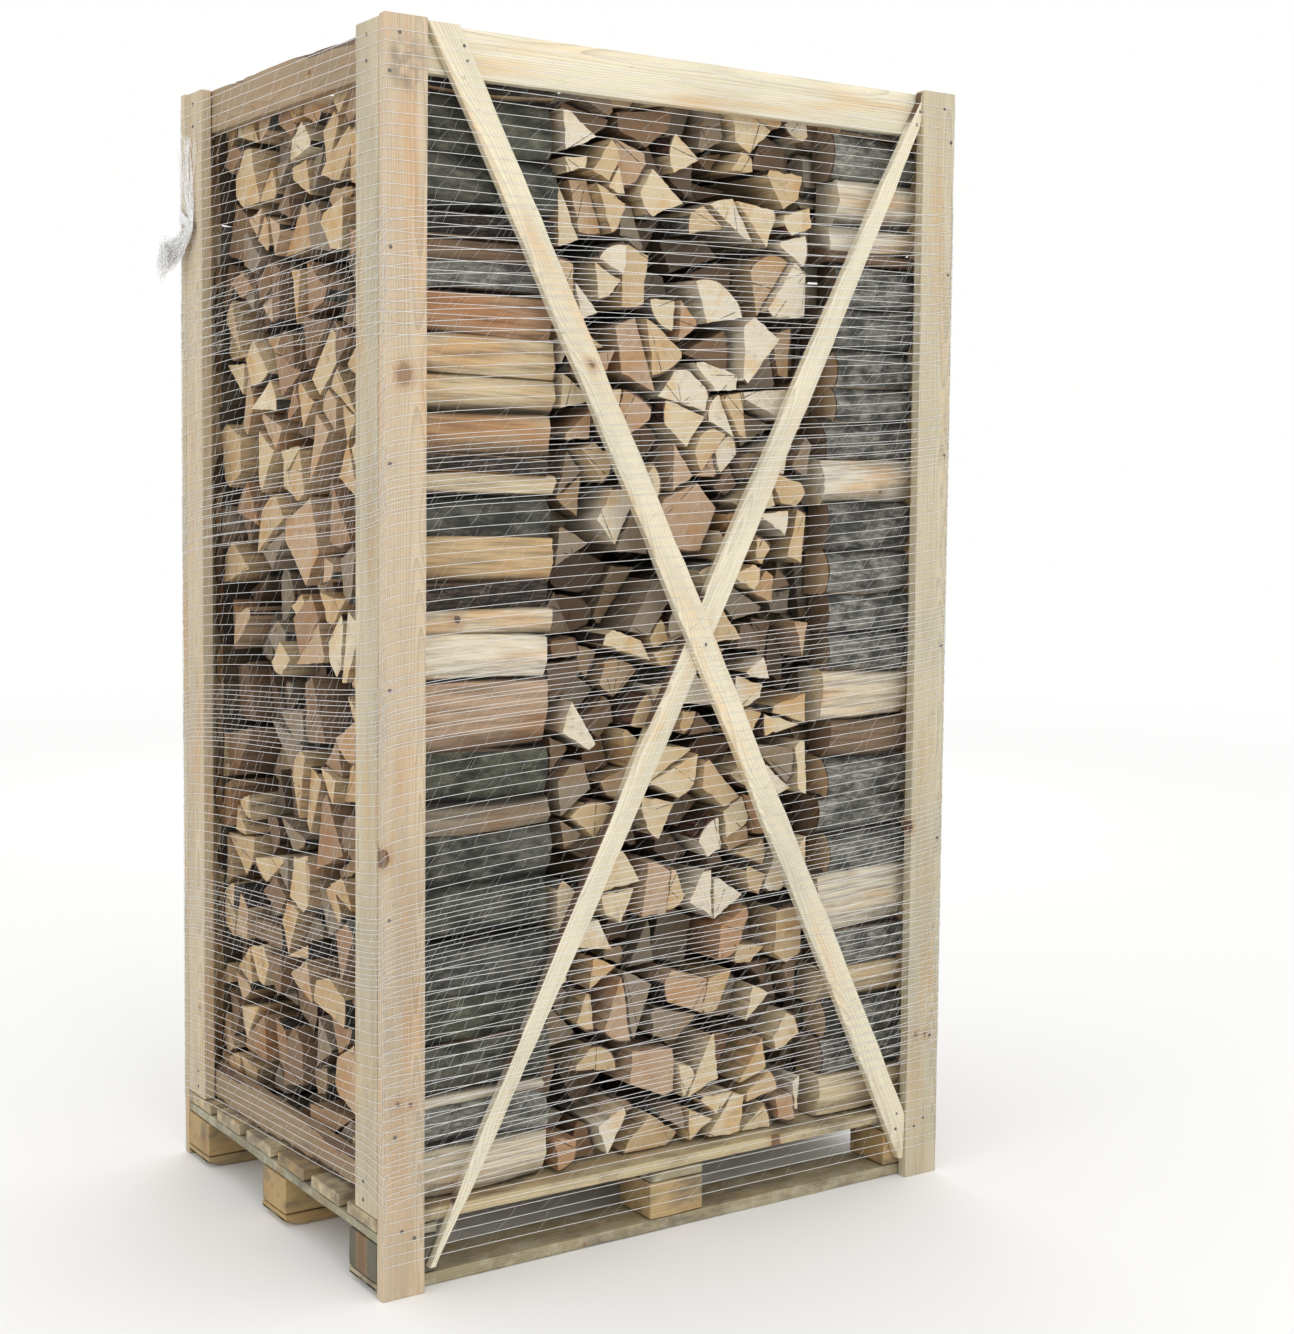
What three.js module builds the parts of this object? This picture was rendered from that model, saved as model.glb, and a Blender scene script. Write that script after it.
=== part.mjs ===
// A crate of split firewood: a low timber pallet, four corner posts of two boards each, rails, crossed
// bracing laths on the front and the back, the stacked logs, and the net that wraps it all.
// Millimetres, +Z up. X runs along the front, Y runs from the front to the back.
// The origin is on the floor, at the centre of the crate.
import * as THREE from "three";

// Driving dimensions
const crateWidth = 1160;
const crateDepth = 840;
const crateHeight = 2000;
const seam = 0.3; // hairline between neighbouring pieces

const boardThickness = 22;
const postFaceWidth = 76;
const postSideWidth = 80;
const topRailHeight = 78;
const bottomRailHeight = 66;
const railDrop = 3; // the rails stop this far below the top of the posts

const skidWidth = 100;
const skidThickness = 22;
const blockLength = 110;
const blockHeight = 64;
const stringerThickness = 18;
const deckThickness = 22;
const deckBoardWidth = 108;
const deckBoardCount = 6;

const logLength = 246; // of the three rows that run from the front to the back
const stackTop = 1952;
const stackTiers = ["low", "middle", "top"];

const halfWidth = crateWidth / 2;
const halfDepth = crateDepth / 2;
const deckTop = skidThickness + blockHeight + stringerThickness + deckThickness;
const frameDepth = halfDepth - boardThickness; // inner face of the post face boards
const frameWidth = halfWidth - boardThickness; // inner face of the post side boards

const spruce = new THREE.MeshStandardMaterial({ color: 0xe3cda2, roughness: 0.8, metalness: 0 });
const palletWood = new THREE.MeshStandardMaterial({ color: 0xa08a66, roughness: 0.9, metalness: 0 });
const splitWood = new THREE.MeshStandardMaterial({ color: 0xb98f62, roughness: 0.85, metalness: 0 });
const netting = new THREE.MeshStandardMaterial({ color: 0xf2f2ee, roughness: 0.5, metalness: 0 });

const crate = new THREE.Group();

function addPiece(name, geometry, material) {
  const piece = new THREE.Mesh(geometry, material);
  piece.name = name;
  crate.add(piece);
  return piece;
}

// A straight board or block between two corners, drawn in by half a seam wherever it could touch another
// piece. What stands on the floor keeps its full depth there.
function addBoard(name, [x0, x1], [y0, y1], [z0, z1], material) {
  const gap = seam / 2;
  const bottom = z0 === 0 ? 0 : z0 + gap;
  const top = z1 - gap;
  const geometry = new THREE.BoxGeometry(x1 - x0 - seam, y1 - y0 - seam, top - bottom);
  const board = addPiece(name, geometry, material);
  board.position.set((x0 + x1) / 2, (y0 + y1) / 2, (bottom + top) / 2);
}

// A span that reaches from an outer face towards the middle of the crate, on the side that sign names.
function inward(sign, outer, length) {
  return sign > 0 ? [outer - length, outer] : [-outer, -outer + length];
}

function centred(middle, length) {
  return [middle - length / 2, middle + length / 2];
}

// Pallet: three skids along X, three blocks on each, three stringers across them and the deck on top
function addPallet() {
  const rows = { front: -1, middle: 0, back: 1 };
  const columns = { left: -1, middle: 0, right: 1 };
  const rowCentre = frameDepth - skidWidth / 2;
  const columnCentre = halfWidth - blockLength / 2;
  const blockTop = skidThickness + blockHeight;
  const stringerTop = blockTop + stringerThickness;
  for (const [row, rowSide] of Object.entries(rows)) {
    const acrossRow = centred(rowSide * rowCentre, skidWidth);
    addBoard(`skid_${row}`, [-halfWidth, halfWidth], acrossRow, [0, skidThickness], palletWood);
    for (const [column, columnSide] of Object.entries(columns)) {
      const alongBlock = centred(columnSide * columnCentre, blockLength);
      addBoard(`block_${row}_${column}`, alongBlock, acrossRow, [skidThickness, blockTop], palletWood);
    }
  }
  for (const [column, columnSide] of Object.entries(columns)) {
    const acrossStringer = centred(columnSide * columnCentre, blockLength);
    const height = [blockTop, stringerTop];
    addBoard(`stringer_${column}`, acrossStringer, [-frameDepth, frameDepth], height, palletWood);
  }
  const step = (2 * frameDepth - deckBoardWidth) / (deckBoardCount - 1);
  for (let i = 0; i < deckBoardCount; i++) {
    const y0 = -frameDepth + i * step;
    const across = [y0, y0 + deckBoardWidth];
    addBoard(`deck_board_${i + 1}`, [-halfWidth, halfWidth], across, [stringerTop, deckTop], palletWood);
  }
}

// Corner posts: a face board down to the floor, and a side board nailed behind its edge, on the deck
function addPosts() {
  for (const [face, faceSide] of [["front", -1], ["back", 1]]) {
    for (const [side, sideSide] of [["left", -1], ["right", 1]]) {
      const name = `post_${face}_${side}`;
      addBoard(
        `${name}_face_board`,
        inward(sideSide, halfWidth, postFaceWidth),
        inward(faceSide, halfDepth, boardThickness),
        [0, crateHeight],
        spruce,
      );
      addBoard(
        `${name}_side_board`,
        inward(sideSide, halfWidth, boardThickness),
        inward(faceSide, frameDepth, postSideWidth),
        [deckTop, crateHeight - railDrop],
        spruce,
      );
    }
  }
}

// Rails, nailed to the inner faces of the post boards
function addRails() {
  const railTop = crateHeight - railDrop;
  const topRail = [railTop - topRailHeight, railTop];
  const bottomRail = [deckTop, deckTop + bottomRailHeight];
  const railEnd = frameDepth - boardThickness;
  for (const [face, faceSide] of [["front", -1], ["back", 1]]) {
    const across = inward(faceSide, frameDepth, boardThickness);
    addBoard(`top_rail_${face}`, [-frameWidth, frameWidth], across, topRail, spruce);
  }
  for (const [side, sideSide] of [["left", -1], ["right", 1]]) {
    const across = inward(sideSide, frameWidth, boardThickness);
    addBoard(`top_rail_${side}`, across, [-railEnd, railEnd], topRail, spruce);
    addBoard(`bottom_rail_${side}`, across, [-frameDepth, frameDepth], bottomRail, spruce);
  }
}

// A sloping lath between the posts, as a stack of level cross-sections from its foot to its head.
// Its ends are cut along the posts, and the outer lath of a pair bows out over the inner one.
const braceThickness = 14.5;
const braceLevels = 24;
const braceReach = halfWidth - postFaceWidth - seam; // the laths stop at the post face boards
const braceFoot = 36;
const braceHead = crateHeight - railDrop - seam;
const bracePair = {
  outer: { xHead: -474, xFoot: 521, footWidth: 54, middleWidth: 56, headWidth: 55, bow: 15.2 },
  inner: { xHead: 521, xFoot: -487, footWidth: 14, middleWidth: 54, headWidth: 22, bow: 0 },
};

function braceGeometry({ xHead, xFoot, footWidth, middleWidth, headWidth, bow }) {
  const vertices = [];
  const triangles = [];
  const back = -frameDepth - seam;
  for (let i = 0; i <= braceLevels; i++) {
    const t = i / braceLevels;
    const arch = 1 - (2 * t - 1) ** 2; // 0 at both ends, 1 in the middle
    const middle = xFoot + (xHead - xFoot) * t;
    const taperedWidth = footWidth + (headWidth - footWidth) * t;
    const half = (taperedWidth + (middleWidth - taperedWidth) * arch) / 2;
    const x0 = Math.max(middle - half, -braceReach);
    const x1 = Math.min(middle + half, braceReach);
    const y1 = back - bow * arch;
    const y0 = y1 - braceThickness;
    const z = braceFoot + (braceHead - braceFoot) * t;
    vertices.push(x0, y0, z, x1, y0, z, x1, y1, z, x0, y1, z);
  }
  for (let i = 0; i < braceLevels; i++) {
    for (let k = 0; k < 4; k++) {
      const a = 4 * i + k;
      const b = 4 * i + ((k + 1) % 4);
      triangles.push(a, b, b + 4, a, b + 4, a + 4);
    }
  }
  const head = 4 * braceLevels;
  triangles.push(0, 2, 1, 0, 3, 2);
  triangles.push(head, head + 1, head + 2, head, head + 2, head + 3);
  const geometry = new THREE.BufferGeometry();
  geometry.setAttribute("position", new THREE.Float32BufferAttribute(vertices, 3));
  geometry.setIndex(triangles);
  return geometry;
}

function addBraces() {
  for (const [face, turn] of [["front", 0], ["back", Math.PI]]) {
    for (const [place, lath] of Object.entries(bracePair)) {
      const brace = addPiece(`brace_${face}_${place}`, braceGeometry(lath), spruce);
      brace.rotation.z = turn;
    }
  }
}

// Stacked logs: each solid is the room that one tier of a stack takes, out to the tips of its logs.
// The side stacks lie along X, and the three middle rows lie along Y.
function addLogStacks() {
  const stackBottom = deckTop;
  const rowStep = logLength + 4;
  const stackDepth = 1.5 * rowStep;
  const stacks = {
    left: { x: [-535, -238], y: [-stackDepth, stackDepth] },
    right: { x: [300, 535], y: [-stackDepth, stackDepth] },
    centre_front: { x: [-234, 296], y: [-stackDepth, -stackDepth + logLength] },
    centre_core: { x: [-234, 296], y: centred(0, logLength) },
    centre_back: { x: [-234, 296], y: [stackDepth - logLength, stackDepth] },
  };
  const tierHeight = (stackTop - stackBottom) / stackTiers.length;
  for (const [stack, { x, y }] of Object.entries(stacks)) {
    stackTiers.forEach((tier, i) => {
      const z0 = stackBottom + i * tierHeight;
      addBoard(`logs_${stack}_${tier}`, x, y, [z0, z0 + tierHeight], splitWood);
    });
  }
}

// The net: a thin skin round the posts, pushed out where the outer laths bow
const netThickness = 1.2;
const netBottom = deckTop - deckThickness;
const netTop = crateHeight - 12;
const netBulge = 9.2; // how far the laths push it out
const netBulgeFrom = -150;
const netBulgeTo = 190;

function netOutline(offset) {
  const x = halfWidth + offset;
  const y = halfDepth + offset;
  const bulge = y + netBulge;
  return [
    [-x, -y],
    [netBulgeFrom, -bulge],
    [netBulgeTo, -bulge],
    [x, -y],
    [x, y],
    [-netBulgeFrom, bulge],
    [-netBulgeTo, bulge],
    [-x, y],
  ].map(([px, py]) => new THREE.Vector2(px, py));
}

function addNet() {
  const outline = new THREE.Shape(netOutline(seam + netThickness));
  outline.holes.push(new THREE.Path(netOutline(seam).reverse()));
  const options = { depth: netTop - netBottom, bevelEnabled: false };
  const wrap = addPiece("net_wrap", new THREE.ExtrudeGeometry(outline, options), netting);
  wrap.position.z = netBottom;
}

// The net's tail: twisted up, tucked and left as a flared tuft on the back left post
function addNetTail() {
  const profile = [
    [0, 0],
    [7, 1],
    [10, 7],
    [8, 15],
    [12, 25],
    [17, 35],
    [11, 41],
    [0, 42],
  ].map(([radius, along]) => new THREE.Vector2(radius, along));
  const tail = addPiece("net_tail", new THREE.LatheGeometry(profile, 12), netting);
  const outwards = new THREE.Vector3(-0.94, 0, -0.34).normalize(); // away from the post, drooping
  tail.quaternion.setFromUnitVectors(new THREE.Vector3(0, 1, 0), outwards);
  tail.position.set(-halfWidth - 6, halfDepth - 26, 1728);
}

addPallet();
addPosts();
addRails();
addBraces();
addLogStacks();
addNet();
addNetTail();

export default crate;
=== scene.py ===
import math

import bpy
import numpy as np
from mathutils import Matrix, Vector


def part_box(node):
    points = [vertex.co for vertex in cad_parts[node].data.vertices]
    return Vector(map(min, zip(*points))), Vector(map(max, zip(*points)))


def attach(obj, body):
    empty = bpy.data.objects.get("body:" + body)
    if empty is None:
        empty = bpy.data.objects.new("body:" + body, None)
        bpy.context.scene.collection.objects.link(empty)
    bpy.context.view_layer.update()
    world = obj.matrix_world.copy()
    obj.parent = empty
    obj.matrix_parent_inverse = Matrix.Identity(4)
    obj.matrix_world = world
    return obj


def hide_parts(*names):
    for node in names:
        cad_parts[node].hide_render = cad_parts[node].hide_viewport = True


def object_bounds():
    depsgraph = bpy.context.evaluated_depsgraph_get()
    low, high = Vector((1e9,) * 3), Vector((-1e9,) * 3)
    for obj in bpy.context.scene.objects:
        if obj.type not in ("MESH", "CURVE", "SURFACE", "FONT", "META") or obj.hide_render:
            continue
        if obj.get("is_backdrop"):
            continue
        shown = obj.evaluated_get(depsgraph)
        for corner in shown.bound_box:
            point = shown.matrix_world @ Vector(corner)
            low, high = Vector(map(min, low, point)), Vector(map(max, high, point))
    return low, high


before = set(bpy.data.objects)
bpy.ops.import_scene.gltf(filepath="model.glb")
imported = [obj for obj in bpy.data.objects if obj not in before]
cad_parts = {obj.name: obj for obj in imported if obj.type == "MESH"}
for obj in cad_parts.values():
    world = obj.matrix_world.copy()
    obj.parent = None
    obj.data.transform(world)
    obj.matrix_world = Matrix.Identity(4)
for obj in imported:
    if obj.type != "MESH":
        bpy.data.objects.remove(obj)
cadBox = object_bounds()

# Camera, floor and light

viewpoint = {
    "eye": (-1.977, -3.191, 1.302),
    "turn": 32.91,  # degrees to the right of straight ahead
    "down": 3.55,
    "roll": 0.47,
    "lens": 54.27,
    "shift": (0.0352, -0.0502),
}


def addCamera():
    # a shifted lens, which keeps the posts nearly upright
    data = bpy.data.cameras.new("camera")
    data.lens = viewpoint["lens"]
    data.shift_x, data.shift_y = viewpoint["shift"]
    camera = bpy.data.objects.new("camera", data)
    # looking straight down at first, it is rolled, tipped up to the horizon and then turned to the right
    camera.matrix_world = (
        Matrix.Translation(viewpoint["eye"])
        @ Matrix.Rotation(-math.radians(viewpoint["turn"]), 4, "Z")
        @ Matrix.Rotation(math.radians(90 - viewpoint["down"]), 4, "X")
        @ Matrix.Rotation(math.radians(viewpoint["roll"]), 4, "Z")
    )
    bpy.context.scene.collection.objects.link(camera)
    bpy.context.scene.camera = camera


addCamera()

studio = {
    "worldColour": (1.0, 0.998, 0.993, 1),
    "worldStrength": 1.0,
    "lights": [
        # name, place, size, power, colour
        ("key", (-0.6, -4.8, 3.4), 3.0, 52, (1.0, 0.985, 0.96)),
        ("leftFill", (-4.6, -0.8, 2.4), 3.0, 26, (1.0, 0.99, 0.95)),
        ("backFill", (2.6, 4.6, 3.2), 3.0, 30, (1.0, 1.0, 1.0)),
    ],
    "floorSize": 80,
    "floorFade": (3.2, 9.0),  # from and to this far out the floor fades into the background
}


# Node helpers


def addNode(tree, kind, inputs, **settings):
    # an input is either a number or the output of another node
    made = tree.nodes.new("ShaderNode" + kind)
    for name, value in settings.items():
        setattr(made, name, value)
    for key, value in inputs.items():
        if isinstance(value, bpy.types.NodeSocket):
            tree.links.new(value, made.inputs[key])
        else:
            made.inputs[key].default_value = value
    return made


def calc(tree, operation, a, b=0.0, c=0.0):
    return addNode(tree, "Math", {0: a, 1: b, 2: c}, operation=operation).outputs[0]


def plus(tree, a, b):
    return calc(tree, "ADD", a, b)


def less(tree, a, b):
    return calc(tree, "SUBTRACT", a, b)


def times(tree, a, b):
    return calc(tree, "MULTIPLY", a, b)


def radiusOf(tree, a, b):
    # the square root of the sum of two squares
    return calc(tree, "SQRT", plus(tree, calc(tree, "POWER", a, 2.0), calc(tree, "POWER", b, 2.0)))


def combined(tree, *parts):
    return addNode(tree, "CombineXYZ", dict(enumerate(parts))).outputs[0]


def separated(tree, vector):
    return addNode(tree, "SeparateXYZ", {0: vector}).outputs


def scaled(tree, vector, factors):
    return addNode(tree, "VectorMath", {0: vector, 1: factors}, operation="MULTIPLY").outputs[0]


def shifted(tree, vector, offset):
    return addNode(tree, "VectorMath", {0: vector, 1: offset}, operation="ADD").outputs[0]


def noise(tree, vector, scale, detail=3.0, roughness=0.55, distortion=0.0):
    inputs = {"Vector": vector, "Scale": scale, "Detail": detail, "Roughness": roughness}
    inputs["Distortion"] = distortion
    return addNode(tree, "TexNoise", inputs).outputs["Fac"]


def grain(tree, vector, factors, *values):
    # noise drawn out along the axes whose factors are small
    return noise(tree, scaled(tree, vector, factors), *values)


def remap(tree, value, low, high, newLow=0.0, newHigh=1.0):
    # a soft step: newLow up to low, newHigh from high on
    inputs = {0: value, 1: low, 2: high, 3: newLow, 4: newHigh}
    return addNode(tree, "MapRange", inputs, interpolation_type="SMOOTHSTEP").outputs[0]


def blended(tree, share, a, b, how="MIX"):
    inputs = {0: share, 6: a, 7: b}
    return addNode(tree, "Mix", inputs, data_type="RGBA", blend_type=how).outputs[2]


def colourRamp(tree, value, stops):
    # straight blends between colours that stand at rising positions from 0 to 1
    made = addNode(tree, "ValToRGB", {0: value})
    elements = made.color_ramp.elements
    while len(elements) < len(stops):
        elements.new(0.5)
    for element, (position, colour) in zip(elements, stops):
        element.position = position
        element.color = (*colour, 1)
    return made.outputs[0]


def darker(tree, colour, amount):
    # the colour times one less the amount, which may be a map
    grey = less(tree, 1.0, amount)
    return blended(tree, 1.0, colour, grey, "MULTIPLY")


def attribute(tree, name):
    return addNode(tree, "Attribute", {}, attribute_name=name)


def newMaterial(name):
    # an empty node tree
    material = bpy.data.materials.new(name)
    material.use_nodes = True
    material.node_tree.nodes.clear()
    return material, material.node_tree


def finishMaterial(tree, colour, roughness, height=None, bumpDistance=0.001, **values):
    # the values go by the names of the shader's own inputs
    inputs = {"Base Color": colour, "Roughness": roughness}
    inputs.update(values)
    if height is not None:
        inputs["Normal"] = addNode(tree, "Bump", {"Height": height, "Distance": bumpDistance}).outputs[0]
    shader = addNode(tree, "BsdfPrincipled", inputs)
    addNode(tree, "OutputMaterial", {0: shader.outputs[0]})


def floorMaterial():
    # a matt pale floor that turns into the colour of the background with the distance from the crate
    material, tree = newMaterial("paleFloor")
    position = addNode(tree, "TexCoord", {}).outputs["Object"]
    colour = blended(tree, noise(tree, position, 0.8), (0.90, 0.90, 0.895, 1), (0.92, 0.92, 0.915, 1))
    distance = addNode(tree, "VectorMath", {0: position}, operation="LENGTH").outputs["Value"]
    matt = addNode(tree, "BsdfPrincipled", {"Base Color": colour, "Roughness": 0.8}).outputs[0]
    inputs = {"Color": studio["worldColour"], "Strength": studio["worldStrength"]}
    glow = addNode(tree, "Emission", inputs).outputs[0]
    fade = remap(tree, distance, *studio["floorFade"])
    mixed = addNode(tree, "MixShader", {0: fade, 1: matt, 2: glow}).outputs[0]
    addNode(tree, "OutputMaterial", {0: mixed})
    return material


def addStudio():
    # a bright even background, three soft area lights and the floor
    scene = bpy.context.scene
    scene.view_settings.view_transform = "Standard"
    world = bpy.data.worlds.new("studio")
    world.use_nodes = True
    background = world.node_tree.nodes["Background"]
    background.inputs[0].default_value = studio["worldColour"]
    background.inputs[1].default_value = studio["worldStrength"]
    scene.world = world
    for name, place, size, power, colour in studio["lights"]:
        data = bpy.data.lights.new(name, "AREA")
        data.size = size
        data.energy = power
        data.color = colour
        light = bpy.data.objects.new(name, data)
        # an area light shines along its own -Z, which is aimed at the middle of the crate
        aim = Matrix.Translation((0, 0, 1)).translation - Matrix.Translation(place).translation
        light.rotation_euler = aim.to_track_quat("-Z", "Y").to_euler()
        light.location = place
        scene.collection.objects.link(light)
    half = studio["floorSize"] / 2
    corners = np.array([(-half, -half, 0), (half, -half, 0), (half, half, 0), (-half, half, 0)], float)
    floor = buildMesh("floor", corners, np.array([[0, 1, 2, 3]]), None, floorMaterial())
    floor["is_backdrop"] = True


# Mesh helpers


def buildMesh(name, points, quads, triangles, material, sharpAngle=None):
    # whole arrays straight into the mesh: the corners of all quads first, then those of all triangles
    corners = quads.ravel()
    starts = np.arange(len(quads)) * 4
    if triangles is not None:
        corners = np.concatenate([corners, triangles.ravel()])
        starts = np.concatenate([starts, len(quads) * 4 + np.arange(len(triangles)) * 3])
    mesh = bpy.data.meshes.new(name)
    mesh.vertices.add(len(points))
    mesh.vertices.foreach_set("co", points.astype(np.float32).ravel())
    mesh.loops.add(len(corners))
    mesh.loops.foreach_set("vertex_index", corners.astype(np.int32))
    mesh.polygons.add(len(starts))
    mesh.polygons.foreach_set("loop_start", starts.astype(np.int32))
    mesh.update(calc_edges=True)
    mesh.validate()
    mesh.shade_smooth()
    if sharpAngle is not None:
        mesh.set_sharp_from_angle(angle=math.radians(sharpAngle))
    mesh.materials.append(material)
    piece = bpy.data.objects.new(name, mesh)
    bpy.context.scene.collection.objects.link(piece)
    return piece


def loftFaces(count, rings, around):
    # corner numbers for `count` equal lofts: each has rings * around points, then a pole for each end.
    # Rings run along the axis and points run anticlockwise about it, so the faces point outwards.
    ring = np.arange(rings - 1)[:, None] * around
    here = np.arange(around)
    after = (here + 1) % around
    sides = np.stack([ring + here, ring + after, ring + after + around, ring + here + around], -1)
    last = (rings - 1) * around
    pole = np.full(around, rings * around)
    ends = np.concatenate(
        [np.stack([after, here, pole], -1), np.stack([last + here, last + after, pole + 1], -1)]
    )
    step = np.arange(count)[:, None, None] * (rings * around + 2)
    return (sides.reshape(-1, 4) + step).reshape(-1, 4), (ends + step).reshape(-1, 3)


def withPoles(points):
    # (count, rings, around, 3) points, with the mean of the first and last ring added as the poles
    count = points.shape[0]
    flat = points.reshape(count, -1, points.shape[-1])
    return np.concatenate([flat, points[:, 0].mean(1)[:, None], points[:, -1].mean(1)[:, None]], 1)


def addValues(piece, name, values, domain="POINT"):
    # a number or three numbers for each point, or for each face
    kind = "FLOAT" if values.ndim == 1 else "FLOAT_VECTOR"
    layer = piece.data.attributes.new(name, kind, domain)
    layer.data.foreach_set("value" if kind == "FLOAT" else "vector", values.astype(np.float32).ravel())


def waves(points, rng, size, stretch=1.0, count=9):
    # a smooth random relief of about -1 to 1: a sum of sines, each across its own random direction.
    # size is their usual length, and along the third coordinate they are drawn out by stretch.
    directions = rng.normal(size=(count, 3)) * (2 * math.pi / size / 1.7)
    directions[:, 2] /= stretch
    phases = rng.uniform(0, 2 * math.pi, count)
    return np.sin(points @ directions.T + phases).sum(-1) / math.sqrt(count)


def place(piece, slotName, nodes):
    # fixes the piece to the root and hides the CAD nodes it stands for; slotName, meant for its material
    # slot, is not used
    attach(piece, "root")
    if nodes:
        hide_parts(*nodes)


addStudio()
print("camera, floor and light are in place")


# Wood of the boards

boardLook = {
    "spruceStops": [
        (0.0, (0.84, 0.77, 0.58)),  # bright cream
        (0.15, (0.74, 0.66, 0.47)),  # cream
        (0.35, (0.58, 0.51, 0.36)),  # pale, slightly green
        (0.5, (0.65, 0.50, 0.345)),  # pinkish
        (0.75, (0.42, 0.31, 0.19)),  # tan
        (1.0, (0.23, 0.155, 0.10)),  # dull brown
    ],
    "palletStops": [
        (0.0, (0.66, 0.58, 0.38)),  # pale
        (0.3, (0.50, 0.34, 0.15)),  # yellow-orange
        (0.5, (0.36, 0.33, 0.22)),  # mouldy grey
        (0.75, (0.25, 0.235, 0.15)),  # olive
        (1.0, (0.10, 0.098, 0.07)),  # dark grey-green
    ],
    "ringWidth": 0.0034,
    "knotCell": (0.34, 0.085),
    "knotRadius": 0.013,
    "redder": (1.0, 0.82, 0.66, 1),  # multiplied in
    "haloColour": (0.40, 0.22, 0.10, 1),
    "knotColours": ((0.06, 0.028, 0.014, 1), (0.24, 0.11, 0.045, 1)),
    "barkColours": ((0.085, 0.05, 0.032, 1), (0.17, 0.10, 0.06, 1)),
    "mouldColour": (0.50, 0.475, 0.36, 1),
    "mouldyTone": 0.58,  # mould shows most at this tone
    "blotchColour": (0.13, 0.11, 0.085, 1),
    "stainColour": (0.17, 0.13, 0.105, 1),
    "speckColour": (0.08, 0.065, 0.05, 1),
}


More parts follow.
